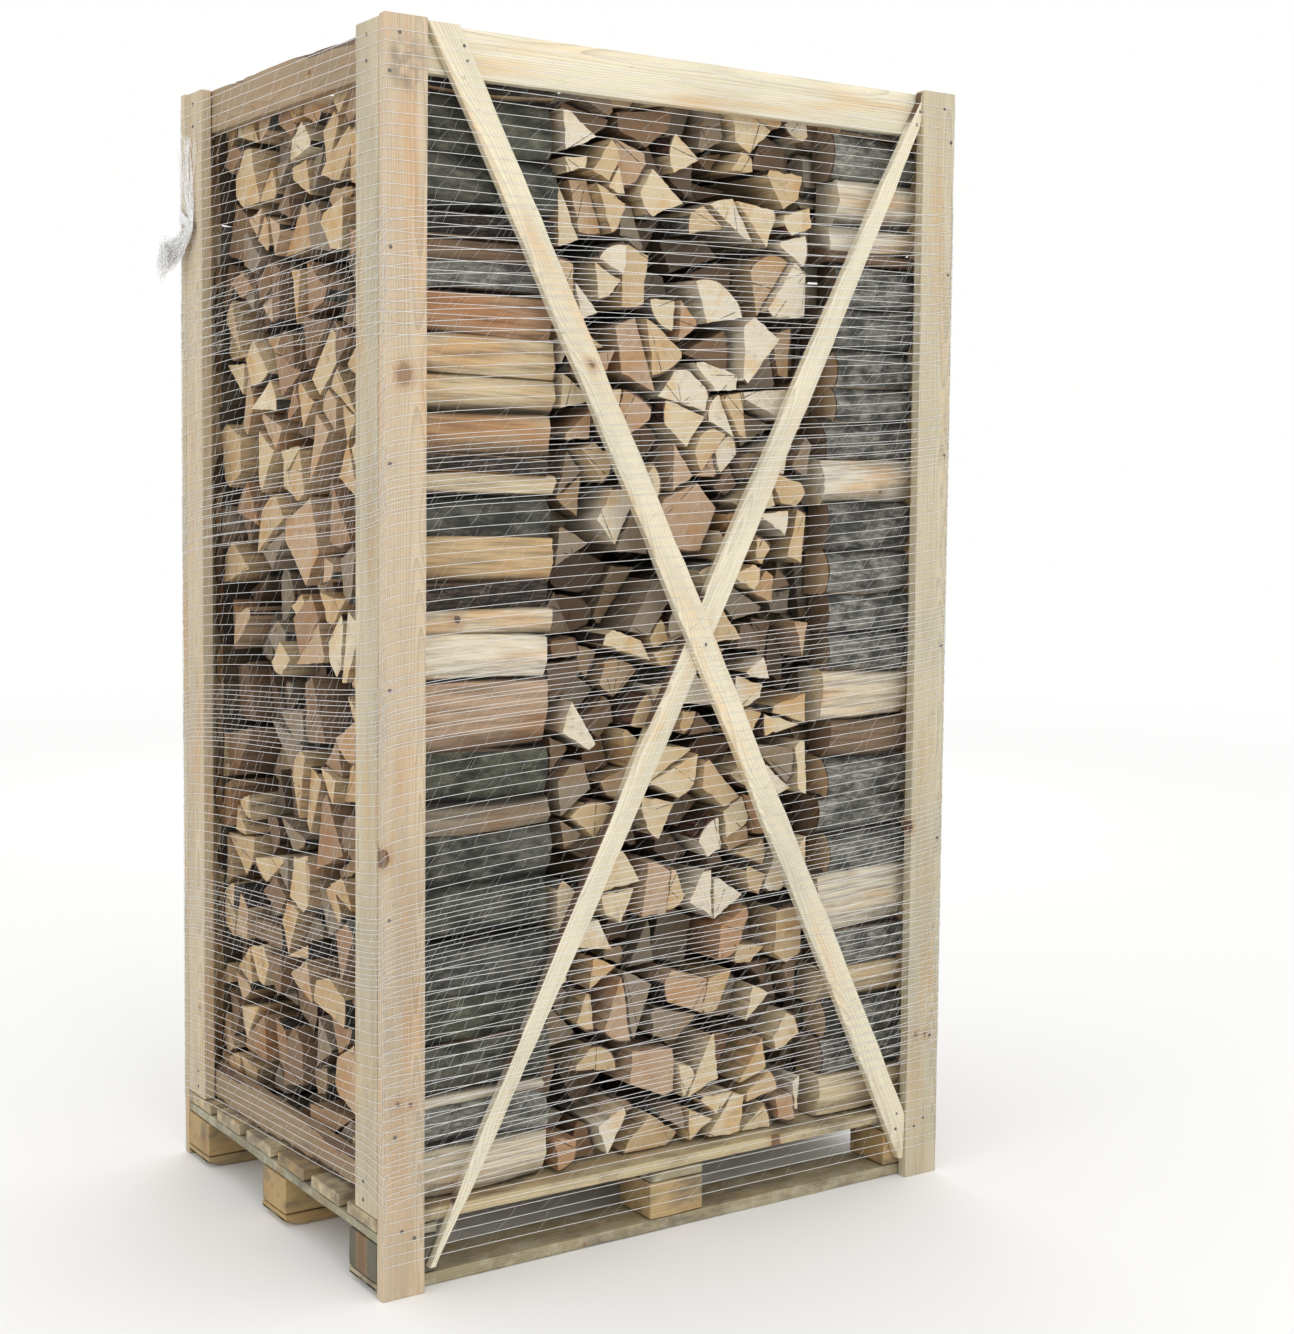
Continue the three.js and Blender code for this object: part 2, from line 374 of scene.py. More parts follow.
def boardMaterial(name, stops, grime, blotchFrom, mould):
    # flat-sawn board: boardPos runs along, across and out of it, and boardTone is its tone, seed and wane.
    # The lower blotchFrom is, the more of it the blotches cover.
    material, tree = newMaterial(name)
    position = attribute(tree, "boardPos").outputs["Vector"]
    tone, seed, wane = separated(tree, attribute(tree, "boardTone").outputs["Vector"])
    moved = shifted(tree, position, combined(tree, times(tree, seed, 37.0), times(tree, seed, 5.3), seed))

    # knots: one may stand in each cell of a long grid, and its size comes from the cell's random colour
    cellLong, cellWide = boardLook["knotCell"]
    cellVector = scaled(tree, moved, (1 / cellLong, 1 / cellWide, 0))
    cells = addNode(tree, "TexVoronoi", {"Vector": cellVector, "Scale": 1.0, "Randomness": 0.8})
    cellMiddle = scaled(tree, cells.outputs["Position"], (cellLong, cellWide, 0))
    chance = addNode(tree, "SeparateColor", {0: cells.outputs["Color"]}).outputs[0]
    roughEdge = calc(tree, "MULTIPLY_ADD", noise(tree, moved, 160.0), 0.005, -0.0025)

    def spotAt(place, middle, radius, soft):
        # how far inside a rough oval about the middle, as a mask, with a wider one around it
        offset = addNode(tree, "VectorMath", {0: place, 1: middle}, operation="SUBTRACT").outputs[0]
        offset = scaled(tree, offset, (0.8, 1, 0))
        away = addNode(tree, "VectorMath", {0: offset}, operation="LENGTH").outputs["Value"]
        edge = less(tree, plus(tree, away, roughEdge), radius)
        there = remap(tree, radius, 0.001, 0.003)
        inside = times(tree, remap(tree, edge, soft, -soft), there)
        return inside, times(tree, remap(tree, edge, 0.014, 0.0), there)

    flatPlace = scaled(tree, moved, (1, 1, 0))
    foundSize = remap(tree, chance, 0.6, 1.0, 0.0, boardLook["knotRadius"])
    found, foundHalo = spotAt(flatPlace, cellMiddle, foundSize, 0.0012)
    chosen = attribute(tree, "boardKnot").outputs["Vector"]
    chosenSize = separated(tree, chosen)[2]
    given, givenHalo = spotAt(position, chosen, chosenSize, 0.004)
    given = times(tree, given, remap(tree, chosenSize, 0.005, 0.014, 1.0, 0.6))
    knot = calc(tree, "MAXIMUM", found, given)
    halo = calc(tree, "MAXIMUM", foundHalo, givenHalo)
    stainPlace = attribute(tree, "boardStain").outputs["Vector"]
    stain, _ = spotAt(position, stainPlace, separated(tree, stainPlace)[2], 0.012)

    # year rings: the distance to the heart line of the log, which runs beside the board and wanders a little
    slow = less(tree, grain(tree, moved, (1.6, 5.0, 5.0), 1.0, 2.0), 0.5)
    _, across, outwards = separated(tree, position)
    heartAside = calc(tree, "MULTIPLY_ADD", seed, 0.06, -0.03)
    aside = plus(tree, less(tree, across, heartAside), times(tree, slow, 0.05))
    heartDepth = calc(tree, "MULTIPLY_ADD", slow, 0.06, 0.035)
    through = plus(tree, outwards, heartDepth)
    radius = plus(tree, radiusOf(tree, aside, through), times(tree, halo, 0.006))
    ring = calc(tree, "FRACT", calc(tree, "DIVIDE", radius, boardLook["ringWidth"]))
    lateWood = calc(tree, "POWER", ring, 3.0)
    fibre = grain(tree, moved, (7.0, 520.0, 520.0), 1.0, 3.0, 0.6)
    broad = grain(tree, moved, (2.2, 14.0, 14.0), 1.0, 3.0)

    colour = colourRamp(tree, tone, stops)
    colour = darker(tree, colour, times(tree, lateWood, 0.26))
    colour = darker(tree, colour, remap(tree, fibre, 0.45, 0.85, 0.0, 0.25))
    colour = darker(tree, colour, remap(tree, broad, 0.4, 0.8, 0.0, 0.22))
    redder = blended(tree, 1.0, colour, boardLook["redder"], "MULTIPLY")
    reddened = remap(tree, grain(tree, moved, (3, 22, 22), 1.0), 0.5, 0.75)
    colour = blended(tree, reddened, colour, redder)
    colour = blended(tree, times(tree, halo, 0.45), colour, boardLook["haloColour"])
    knotColour = blended(tree, noise(tree, moved, 300.0), *boardLook["knotColours"])
    colour = blended(tree, times(tree, knot, 0.88), colour, knotColour)

    # handling dirt and weather: pale mould on what is half dark already, blotches, and small dark specks
    mouldy = times(tree, remap(tree, noise(tree, moved, 34.0, 6.0, 0.72), 0.46, 0.62), mould)
    fromHalfDark = calc(tree, "ABSOLUTE", less(tree, tone, boardLook["mouldyTone"]))
    mouldy = times(tree, mouldy, remap(tree, fromHalfDark, 0.2, 0.1))
    colour = blended(tree, mouldy, colour, boardLook["mouldColour"])
    patches = grain(tree, moved, (7, 16, 16), 1.0, 6.0, 0.66)
    blotch = remap(tree, patches, blotchFrom, blotchFrom + 0.2)
    colour = blended(tree, times(tree, blotch, grime), colour, boardLook["blotchColour"])
    stain = times(tree, stain, remap(tree, noise(tree, moved, 40.0, 5.0, 0.65), 0.35, 0.65, 0.0, 0.6))
    colour = blended(tree, stain, colour, boardLook["stainColour"])
    speck = remap(tree, noise(tree, moved, 55.0, 5.0, 0.7), 0.66, 0.74)
    colour = blended(tree, times(tree, speck, 0.35 + grime * 0.4), colour, boardLook["speckColour"])
    barkColour = blended(tree, noise(tree, moved, 90.0, 4.0), *boardLook["barkColours"])
    colour = blended(tree, remap(tree, wane, 0.25, 0.6), colour, barkColour)

    saw = grain(tree, moved, (210.0, 9.0, 9.0), 1.0, 2.0)
    height = plus(tree, times(tree, fibre, 0.7), times(tree, saw, 0.35))
    height = plus(tree, height, times(tree, lateWood, 0.18))
    height = less(tree, height, times(tree, speck, 0.4))
    finishMaterial(tree, colour, remap(tree, fibre, 0.2, 0.8, 0.66, 0.86), height, 0.0011)
    return material


def roundedSection(half, radius, perSide):
    # walks anticlockwise round a rectangle, with closer steps near the corners, and pulls each point
    # onto a circle about the nearest point of the smaller rectangle inside it
    step = -np.cos(np.linspace(0, math.pi, perSide + 1)[:-1])
    one = np.ones(perSide)
    sides = [(step, -one), (one, step), (-step, one), (-one, -step)]
    points = np.concatenate([np.stack(side, 1) for side in sides]) * half
    core = np.clip(points, radius - half, half - radius)
    away = points - core
    return core + radius * away / np.linalg.norm(away, axis=1)[:, None]


boardDefaults = {
    "tone": 0.1,
    "radius": 0.0016,
    "step": 0.018,
    "perSide": 11,
    "roughness": 0.0003,
    "wear": 0.0009,  # how far the edges wander inwards
    "wane": (),  # corners with bark left on: (side of the first axis, side of the second, depth)
    "liftEnds": 0.0,  # how far the underside is worn up at both ends
    "knot": (0, 0, 0),  # one chosen knot: how far along and across from the middle, and its radius
    "stain": (0, 0, 0),  # one dark stain, in the same way
}


def pieceName(nodeName):
    # top_rail_front becomes TopRailFront
    return nodeName.title().replace("_", "")


def addBoardValues(piece, positions, tone, seed, wane, knot, stain):
    # tone, seed, knot and stain are the same all over a board, and the wane is a mask
    count = len(positions)
    addValues(piece, "boardPos", positions)
    addValues(piece, "boardTone", np.stack([np.full(count, tone), np.full(count, seed), wane], -1))
    addValues(piece, "boardKnot", np.tile(knot, (count, 1)))
    addValues(piece, "boardStain", np.tile(stain, (count, 1)))


def sawnBoard(nodeName, material, slotName, seed, **changes):
    # A rounded rectangle carried along the longest side of the CAD board's box. The section shrinks a little
    # where the edges wander, and its waney corners are cut back by a slanting plane of varying depth.
    look = {**boardDefaults, **changes}
    rng = np.random.default_rng(seed)
    low, high = (np.array(corner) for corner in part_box(nodeName))
    middle = (low + high) / 2
    size = high - low
    along = look.get("along", int(size.argmax()))
    first, second = (along + 1) % 3, (along + 2) % 3
    half = size[[first, second]] / 2
    section = roundedSection(half, look["radius"], look["perSide"])
    count = max(6, int(size[along] / look["step"]))
    bevel = look["radius"] * 0.7
    travel = np.linspace(-size[along] / 2 + bevel, size[along] / 2 - bevel, count)
    ends = size[along] / 2
    travel = np.concatenate([[-ends, -ends], travel, [ends, ends]])
    shrink = np.ones(count + 4)
    shrink[[0, -1]] = 0.5
    points = np.empty((count + 4, len(section), 3))
    points[..., :2] = section * shrink[:, None, None]
    points[1, :, :2] = section * (1 - bevel / half)
    points[-2, :, :2] = section * (1 - bevel / half)
    points[..., 2] = travel[:, None]
    plain = points.copy()

    wander = np.stack([waves(points * (0, 0, 1) + k, rng, 0.35) for k in (0, 3)], -1)
    points[..., :2] *= 1 - look["wear"] * np.maximum(0.6 + 0.4 * wander, 0) / half
    outward = section / np.linalg.norm(section, axis=1)[:, None]
    relief = waves(points, rng, 0.03, 3.0) * 0.5 + waves(points, rng, 0.012, 4.0) * 0.5 - 1
    points[..., :2] += outward * (np.minimum(relief, 0) * look["roughness"])[..., None]
    waneMask = np.zeros(points.shape[:2])
    for sideFirst, sideSecond, depth in look["wane"]:
        normal = np.array([sideFirst, sideSecond]) / math.sqrt(2)
        slow = waves(points * (0, 0, 1), rng, 0.5)
        varying = depth * (0.55 + 0.6 * slow + 0.15 * waves(points, rng, 0.04))
        limit = (normal * np.array([sideFirst, sideSecond]) * half).sum() - np.maximum(varying, 0)
        excess = np.maximum(points[..., :2] @ normal - limit, 0)
        points[..., :2] -= excess[..., None] * normal
        waneMask = np.maximum(waneMask, np.clip(excess / 0.0012, 0, 1))
    if look["liftEnds"]:
        nearEnd = np.clip(1 - (ends - np.abs(points[..., 2])) / 0.035, 0, 1) ** 1.5
        verticalAxis = 0 if first == 2 else 1
        down = np.clip(-points[..., verticalAxis] / half[verticalAxis], 0, 1)
        points[..., verticalAxis] += nearEnd * down * look["liftEnds"]

    world = np.empty((points[..., 0].size + 2, 3))
    world[:, [first, second, along]] = withPoles(points[None])[0]
    quads, triangles = loftFaces(1, count + 4, len(section))
    piece = buildMesh(pieceName(nodeName), world + middle, quads, triangles, material, sharpAngle=40)
    wide, thin = (0, 1) if half[0] >= half[1] else (1, 0)
    positions = withPoles(plain[None])[0][:, [2, wide, thin]]
    wane = withPoles(waneMask[None, ..., None])[0, :, 0]
    addBoardValues(piece, positions, look["tone"], rng.uniform(), wane, look["knot"], look["stain"])
    place(piece, slotName, [nodeName])


spruceWood = boardMaterial("rawSpruce", boardLook["spruceStops"], grime=0.3, blotchFrom=0.58, mould=0)
weatheredWood = boardMaterial(
    "weatheredPallet", boardLook["palletStops"], grime=0.72, blotchFrom=0.47, mould=0.6
)

crateBoards = {
    # CAD node: what differs from an ordinary board
    "post_front_left_face_board": {
        "tone": 0.46,
        "radius": 0.0022,
        "knot": (0.455, -0.003, 0.014),
        "stain": (0.925, 0.0, 0.032),
    },
    "post_front_left_side_board": {"tone": 0.36, "radius": 0.0022},
    "post_front_right_face_board": {"tone": 0.31},
    "post_front_right_side_board": {"tone": 0.4},
    "post_back_left_face_board": {"tone": 0.38, "radius": 0.0025},
    "post_back_left_side_board": {"tone": 0.42, "radius": 0.0025},
    "post_back_right_face_board": {"tone": 0.45},
    "post_back_right_side_board": {"tone": 0.3},
    "top_rail_front": {"tone": 0.0},
    "top_rail_back": {"tone": 0.2, "wane": [(-1, 1, 0.008)]},
    "top_rail_left": {"tone": 0.8, "wane": [(1, -1, 0.014)]},
    "top_rail_right": {"tone": 0.4},
    "bottom_rail_left": {"tone": 0.84, "wane": [(-1, -1, 0.012), (1, -1, 0.009)]},
    "bottom_rail_right": {"tone": 0.6, "wane": [(1, 1, 0.008)]},
}

for number, (nodeName, changes) in enumerate(crateBoards.items()):
    sawnBoard(nodeName, spruceWood, "sawn_board", 120 + number, **changes)
print("posts and rails are in place")

palletLook = {"radius": 0.002, "roughness": 0.0006, "wear": 0.0015, "step": 0.02}
palletKinds = {
    "skid": {"tone": 0.32, "liftEnds": 0.015},
    "block": {"tone": 0.3, "along": 0, "step": 0.01},
    "stringer": {"tone": 0.5},
    "deck": {"tone": 0.06, "stain": (-0.58, 0.0, 0.06)},
}
palletOdd = {
    # CAD node: how much darker it is than others of its kind, and what else is its own
    "block_front_left": (0.65, {"knot": (-0.055, 0.004, 0.013)}),
    "block_middle_right": (0.3, {}),
    "skid_front": (0.14, {}),
    "deck_board_3": (0.3, {}),
}
palletNodes = sorted(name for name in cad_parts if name.split("_")[0] in palletKinds)
palletRng = np.random.default_rng(5)
for number, nodeName in enumerate(palletNodes):
    older, own = palletOdd.get(nodeName, (0, {}))
    changes = {**palletLook, **palletKinds[nodeName.split("_")[0]], **own}
    changes["tone"] = changes["tone"] + palletRng.uniform(-0.04, 0.04) + older
    sawnBoard(nodeName, weatheredWood, "pallet_wood", 200 + number, **changes)
print("pallet is in place")

# Bracing laths

lathLook = {
    "thickness": 0.0145,
    "halfWidth": 0.027,  # of the section before it is widened or narrowed for each level
    "reach": 0.5037,  # half the clear width between the post face boards
    "foot": 0.036,
    "head": 1.9967,
    "back": 0.3983,  # plane of the rails' outer faces
    "levels": 120,
    "perSide": 10,
    "radius": 0.0015,
    "outer": {
        "xHead": -0.474,
        "xFoot": 0.521,
        "widths": (0.054, 0.056, 0.055),
        "bow": 0.0152,
        "knot": (1.66, 0.006, 0.005),
    },
    "inner": {"xHead": 0.521, "xFoot": -0.487, "widths": (0.014, 0.054, 0.022), "bow": 0.0},
}


def lathSpan(lath, level):
    # level runs from 0 at the foot to 1 at the head, and the arch is 0 at both ends and 1 in the middle:
    # the middle line is straight, and the width and the bow follow the arch
    arch = 1 - (2 * level - 1) ** 2
    middle = lath["xFoot"] + (lath["xHead"] - lath["xFoot"]) * level
    foot, centre, head = lath["widths"]
    tapered = foot + (head - foot) * level
    return middle, (tapered + (centre - tapered) * arch) / 2, lath["bow"] * arch


def bracingLath(nodeName, kind, turned, tone, seed):
    # a rounded rectangle for each level, as wide as the lath is there and cut off along the posts
    lath = lathLook[kind]
    rng = np.random.default_rng(seed)
    levels = np.linspace(0, 1, lathLook["levels"])
    middle, halfWidth, bow = lathSpan(lath, levels)
    thick = lathLook["thickness"] / 2
    nominal = np.array([lathLook["halfWidth"], thick])
    section = roundedSection(nominal, lathLook["radius"], lathLook["perSide"])
    height = lathLook["foot"] + (lathLook["head"] - lathLook["foot"]) * levels
    local = np.empty((len(levels), len(section), 3))
    local[..., 0] = section[:, 0] * (halfWidth / nominal[0])[:, None]
    local[..., 1] = section[:, 1]
    local[..., 2] = height[:, None]
    edge = waves(local * (0.2, 0, 1), rng, 0.22) * 0.0016 + waves(local * (0.2, 0, 1), rng, 0.05) * 0.0006
    local[..., 0] += np.sign(local[..., 0]) * np.minimum(edge, 0.0012)
    local[..., 1] += (waves(local, rng, 0.02, 3.0) - 1) * 0.0002
    # a dark, bark-coloured strip in patches along one edge of the inner lath
    darkEdgeStrip = np.clip((-local[..., 0] / halfWidth[:, None] - 0.86) / 0.1, 0, 1)
    darkEdgeStrip *= np.clip(-0.1 + 1.5 * waves(local * (0, 0, 1), rng, 0.3), 0, 1) * (lath["bow"] == 0)
    points = local.copy()
    points[..., 0] = np.clip(local[..., 0] + middle[:, None], -lathLook["reach"], lathLook["reach"])
    points[..., 1] = local[..., 1] - lathLook["back"] - bow[:, None] - thick
    first, last = points[:1].mean(1, keepdims=True), points[-1:].mean(1, keepdims=True)
    points = np.concatenate([(points[:1] + first) / 2, points, (points[-1:] + last) / 2])
    local = np.concatenate([local[:1], local, local[-1:]])
    darkEdgeStrip = np.concatenate([darkEdgeStrip[:1], darkEdgeStrip, darkEdgeStrip[-1:]])
    if turned:
        points[..., :2] *= -1
    flat = withPoles(points[None])[0]
    quads, triangles = loftFaces(1, len(levels) + 2, len(section))
    piece = buildMesh(pieceName(nodeName), flat, quads, triangles, spruceWood, sharpAngle=40)
    positions = withPoles(local[None])[0][:, [2, 0, 1]] * (1.12, 0.9, 1)
    wane = withPoles(darkEdgeStrip[None, ..., None])[0, :, 0]
    addBoardValues(piece, positions, tone, seed % 7 / 7, wane, lath.get("knot", (0, 0, 0)), (0, 0, 0))
    place(piece, "sawn_board", [nodeName])


laths = {
    # CAD node: which lath of a pair, whether it is turned round to the back, tone and seed
    "brace_front_outer": ("outer", False, 0.03, 301),
    "brace_front_inner": ("inner", False, 0.0, 302),
    "brace_back_outer": ("outer", True, 0.08, 303),
    "brace_back_inner": ("inner", True, 0.12, 304),
}
for nodeName, values in laths.items():
    bracingLath(nodeName, *values)
print("laths are in place")

# Split logs: material

logLook = {
    "woodStops": [
        (0.0, (0.78, 0.71, 0.57)),  # white
        (0.2, (0.69, 0.565, 0.37)),  # cream
        (0.4, (0.57, 0.41, 0.225)),  # tan
        (0.6, (0.49, 0.34, 0.225)),  # pinkish
        (0.75, (0.42, 0.205, 0.08)),  # orange
        (0.85, (0.29, 0.24, 0.175)),  # grey
        (0.93, (0.235, 0.15, 0.09)),  # warm brown
        (1.0, (0.13, 0.095, 0.065)),  # dark, weathered
    ],
    "barkStops": [
        (0.0, (0.068, 0.070, 0.050)),  # grey-green
        (0.2, (0.085, 0.084, 0.072)),  # dark grey
        (0.4, (0.20, 0.198, 0.178)),  # light grey
        (0.6, (0.060, 0.043, 0.033)),  # dark brown
        (1.0, (0.135, 0.052, 0.032)),  # red-brown
    ],
    "redder": (0.94, 0.76, 0.60, 1),  # multiplied into split sides in patches
    "warmer": (0.95, 0.80, 0.61, 1),  # and into sawn ends
    "haloColour": (0.30, 0.16, 0.08, 1),
    "knotColour": (0.06, 0.032, 0.02, 1),
    "stainColour": (0.15, 0.125, 0.10, 1),
    "crackColour": (0.05, 0.035, 0.025, 1),
    "cutBark": (0.10, 0.055, 0.036, 1),  # the ring of bark on a sawn end
    "paler": (1.9, 1.85, 1.75, 1),  # multiplied into the bark in patches
    "lichen": (0.22, 0.235, 0.18, 1),
    "ringWidth": 0.0036,
    "crackSectors": 11,
    "knotCell": 0.13,
    "outerPlanes": (0.5345, 0.375),  # how far out the stacks reach along X and along Y
    "daylight": (0.014, 0.090),  # painted shade: from how deep the wood starts to be darkened, and where it is fully so
    "groove": (0.008, 0.022),  # the same painted shade between the logs of the rows
}


def logMaterial():
    # split, bark and sawn sides by logFace: logPos starts at the pith and runs across it and along the log
    material, tree = newMaterial("splitLogs")
    position = attribute(tree, "logPos").outputs["Vector"]
    woodTone, barkTone, seed = separated(tree, attribute(tree, "logTone").outputs["Vector"])
    rim = attribute(tree, "logRim").outputs["Fac"]
    side = attribute(tree, "logFace").outputs["Fac"]
    barkSide = calc(tree, "COMPARE", side, 1.0, 0.1)
    sawnEnd = calc(tree, "COMPARE", side, 2.0, 0.1)
    seedShift = combined(tree, *[times(tree, seed, factor) for factor in (17.0, 9.0, 5.0)])
    moved = shifted(tree, position, seedShift)
    x, y, travel = separated(tree, position)

    # rings about the pith, and rays that spread from it
    radius = radiusOf(tree, x, y)
    wobble = calc(tree, "MULTIPLY_ADD", grain(tree, moved, (1, 1, 0.15), 24.0), 0.007, -0.0035)
    ring = calc(tree, "DIVIDE", plus(tree, radius, wobble), logLook["ringWidth"])
    lateWood = calc(tree, "POWER", calc(tree, "FRACT", ring), 2.5)
    angle = calc(tree, "ARCTAN2", y, x)
    rayPlace = combined(tree, times(tree, angle, 14.0), times(tree, radius, 14.0), times(tree, seed, 90.0))
    ray = noise(tree, rayPlace, 1.6, 3.0, 0.65)

    # drying cracks: one stands in the middle of some of the sectors, and how far aside of it a point lies is
    # the angle to that middle times the radius
    sectors = logLook["crackSectors"]
    turned = calc(tree, "MULTIPLY_ADD", angle, sectors / (2 * math.pi), times(tree, seed, 13.0))
    sectorNumber = calc(tree, "FLOOR", turned)
    offMiddle = calc(tree, "ABSOLUTE", less(tree, calc(tree, "FRACT", turned), 0.5))
    aside = times(tree, times(tree, offMiddle, 2 * math.pi / sectors), radius)
    jagged = calc(tree, "MULTIPLY_ADD", noise(tree, moved, 130.0, 2.0), 0.0022, -0.0011)
    sectorPlace = combined(tree, sectorNumber, times(tree, seed, 50.0))
    lots = addNode(tree, "TexWhiteNoise", {"Vector": sectorPlace}, noise_dimensions="2D").outputs["Value"]
    crack = remap(tree, plus(tree, aside, jagged), 0.0011, 0.0002)
    crack = times(tree, crack, remap(tree, lots, 0.70, 0.74))
    crack = times(tree, crack, remap(tree, noise(tree, moved, 26.0, 1.0), 0.42, 0.50))

    fibre = grain(tree, moved, (1, 1, 0.035), 420.0, 3.0, 0.6)
    strand = grain(tree, moved, (1, 1, 0.06), 95.0, 3.0, 0.6)
    broad = grain(tree, moved, (1, 1, 0.4), 16.0, 3.0, 0.55)
    inputs = {"Vector": moved, "Scale": 1 / logLook["knotCell"], "Randomness": 0.9}
    fromKnot = addNode(tree, "TexVoronoi", inputs).outputs["Distance"]
    knot = remap(tree, fromKnot, 0.060, 0.035)
    knotHalo = remap(tree, fromKnot, 0.22, 0.05)

    wood = colourRamp(tree, woodTone, logLook["woodStops"])
    split = darker(tree, wood, remap(tree, fibre, 0.4, 0.8, 0.0, 0.32))
    split = darker(tree, split, remap(tree, strand, 0.42, 0.72, 0.0, 0.46))
    redder = blended(tree, 1.0, split, logLook["redder"], "MULTIPLY")
    split = blended(tree, remap(tree, broad, 0.48, 0.70), split, redder)
    split = blended(tree, times(tree, knotHalo, 0.4), split, logLook["haloColour"])
    split = blended(tree, times(tree, knot, 0.85), split, logLook["knotColour"])
    end = darker(tree, wood, times(tree, lateWood, 0.2))
    end = darker(tree, end, remap(tree, ray, 0.45, 0.8, 0.0, 0.22))
    warmer = blended(tree, 1.0, end, logLook["warmer"], "MULTIPLY")
    end = blended(tree, remap(tree, broad, 0.46, 0.68), end, warmer)
    stain = remap(tree, noise(tree, moved, 30.0, 5.0, 0.7), 0.54, 0.72, 0.0, 0.4)
    end = blended(tree, stain, end, logLook["stainColour"])
    end = blended(tree, times(tree, crack, 0.85), end, logLook["crackColour"])
    inBark = remap(tree, less(tree, radius, rim), -0.0055, -0.0045)
    end = blended(tree, inBark, end, logLook["cutBark"])

    # bark: long plates between dark furrows on the browner trees, smooth and mottled on the greyer ones
    plates = combined(tree, times(tree, angle, 6.0), times(tree, travel, 22.0), times(tree, seed, 40.0))
    bending = addNode(tree, "TexNoise", {"Vector": moved, "Scale": 30.0}).outputs["Color"]
    bentPlates = shifted(tree, plates, scaled(tree, bending, (1.4, 1.4, 0.6)))
    inputs = {"Vector": bentPlates, "Scale": 1.0}
    toEdge = addNode(tree, "TexVoronoi", inputs, feature="DISTANCE_TO_EDGE").outputs["Distance"]
    rough = remap(tree, barkTone, 0.25, 0.6, 0.25, 1.0)
    furrow = times(tree, remap(tree, toEdge, 0.0, 0.2, 1.0, 0.0), rough)
    barkGrain = grain(tree, moved, (1, 1, 0.35), 110.0, 5.0, 0.68)
    mottle = grain(tree, moved, (1, 1, 0.7), 26.0, 5.0, 0.62)
    bark = colourRamp(tree, barkTone, logLook["barkStops"])
    paler = blended(tree, 1.0, bark, logLook["paler"], "MULTIPLY")
    bark = blended(tree, remap(tree, barkGrain, 0.42, 0.68), bark, paler)
    bark = darker(tree, bark, remap(tree, mottle, 0.42, 0.62, 0.0, 0.72))
    bark = darker(tree, bark, times(tree, furrow, 0.6))
    lichen = remap(tree, noise(tree, moved, 38.0, 5.0, 0.6), 0.58, 0.72)
    bark = blended(tree, times(tree, lichen, 0.35), bark, logLook["lichen"])

    colour = blended(tree, barkSide, split, bark)
    colour = blended(tree, sawnEnd, colour, end)
    # painted shade: darker with the depth behind the nearest of the stack's outer planes
    inStack = addNode(tree, "TexCoord", {}).outputs["Object"]
    outAlong = separated(tree, addNode(tree, "VectorMath", {0: inStack}, operation="ABSOLUTE").outputs[0])
    sideDepth, frontDepth = [less(tree, plane, out) for plane, out in zip(logLook["outerPlanes"], outAlong)]
    depth = calc(tree, "MINIMUM", sideDepth, frontDepth)
    colour = darker(tree, colour, remap(tree, depth, *logLook["daylight"], 0.0, 0.52))
    # between the logs of a row the painted shade begins sooner
    inRow = times(tree, attribute(tree, "logRow").outputs["Fac"], less(tree, 1.0, sawnEnd))
    groove = times(tree, inRow, remap(tree, frontDepth, *logLook["groove"], 0.0, 0.85))
    groove = times(tree, groove, remap(tree, frontDepth, 0.04, 0.07, 1.0, 0.3))
    colour = darker(tree, colour, groove)

    splitHeight = plus(tree, times(tree, fibre, 0.5), times(tree, strand, 1.3))
    barkHeight = less(tree, barkGrain, times(tree, furrow, 1.4))
    height = addNode(tree, "Mix", {0: barkSide, 2: splitHeight, 3: barkHeight}).outputs[0]
    sawMarks = grain(tree, moved, (30, 620, 1), 1.0, 2.0)
    endHeight = less(tree, times(tree, sawMarks, 0.35), times(tree, crack, 1.2))
    height = addNode(tree, "Mix", {0: sawnEnd, 2: height, 3: endHeight}).outputs[0]
    finishMaterial(tree, colour, remap(tree, fibre, 0.2, 0.8, 0.72, 0.92), height, 0.0016)
    return material


# Split logs: how a stack is divided

stackLook = {
    "cell": 0.117,  # how far apart the middles of the unsplit rounds are
    "jitter": 0.17,
    "gap": 0.0034,
    "pieces": ((1, 0.08), (2, 0.52), (3, 0.40)),  # into how many logs a round is split, and how often
    "corners": ((3, 0.40), (4, 0.44), (5, 0.16)),
    "turn": 0.16,  # radians
    "lean": 0.010,
    "top": 1.9512,
    "woodTones": ((0.05, 0.19), (0.2, 0.30), (0.36, 0.25), (0.58, 0.12), (0.68, 0.02), (0.87, 0.12)),
    "darkTones": ((0.86, 0.20), (0.93, 0.30), (0.97, 0.24), (0.5, 0.24), (0.7, 0.02)),
    "setBackFrom": 0.024,  # an end this far back gets one of the dark tones, as painted shade for its recess
    "leastRound": 0.0012,  # square metres: smaller rounds are left out
    "leastInHalf": 0.0045,  # from which a round may be split once
    "leastInThree": 0.008,  # and twice
    "leastSplit": 0.0009,  # smaller splinters are left out
    "leastLog": 0.0010,
    "quarters": 0.62,  # how many logs have their pith at a corner
    "halves": 0.22,  # and how many at the middle of a side
    "pithAway": 0.16,  # how far off it is for the rest
}
noBark = 9.0  # metres: a bark circle that no log reaches


def choose(rng, table):
    # one of the values, by their odds, which needn't add up to 1
    values, odds = zip(*table)
    return rng.choice(values, p=np.array(odds) / sum(odds))


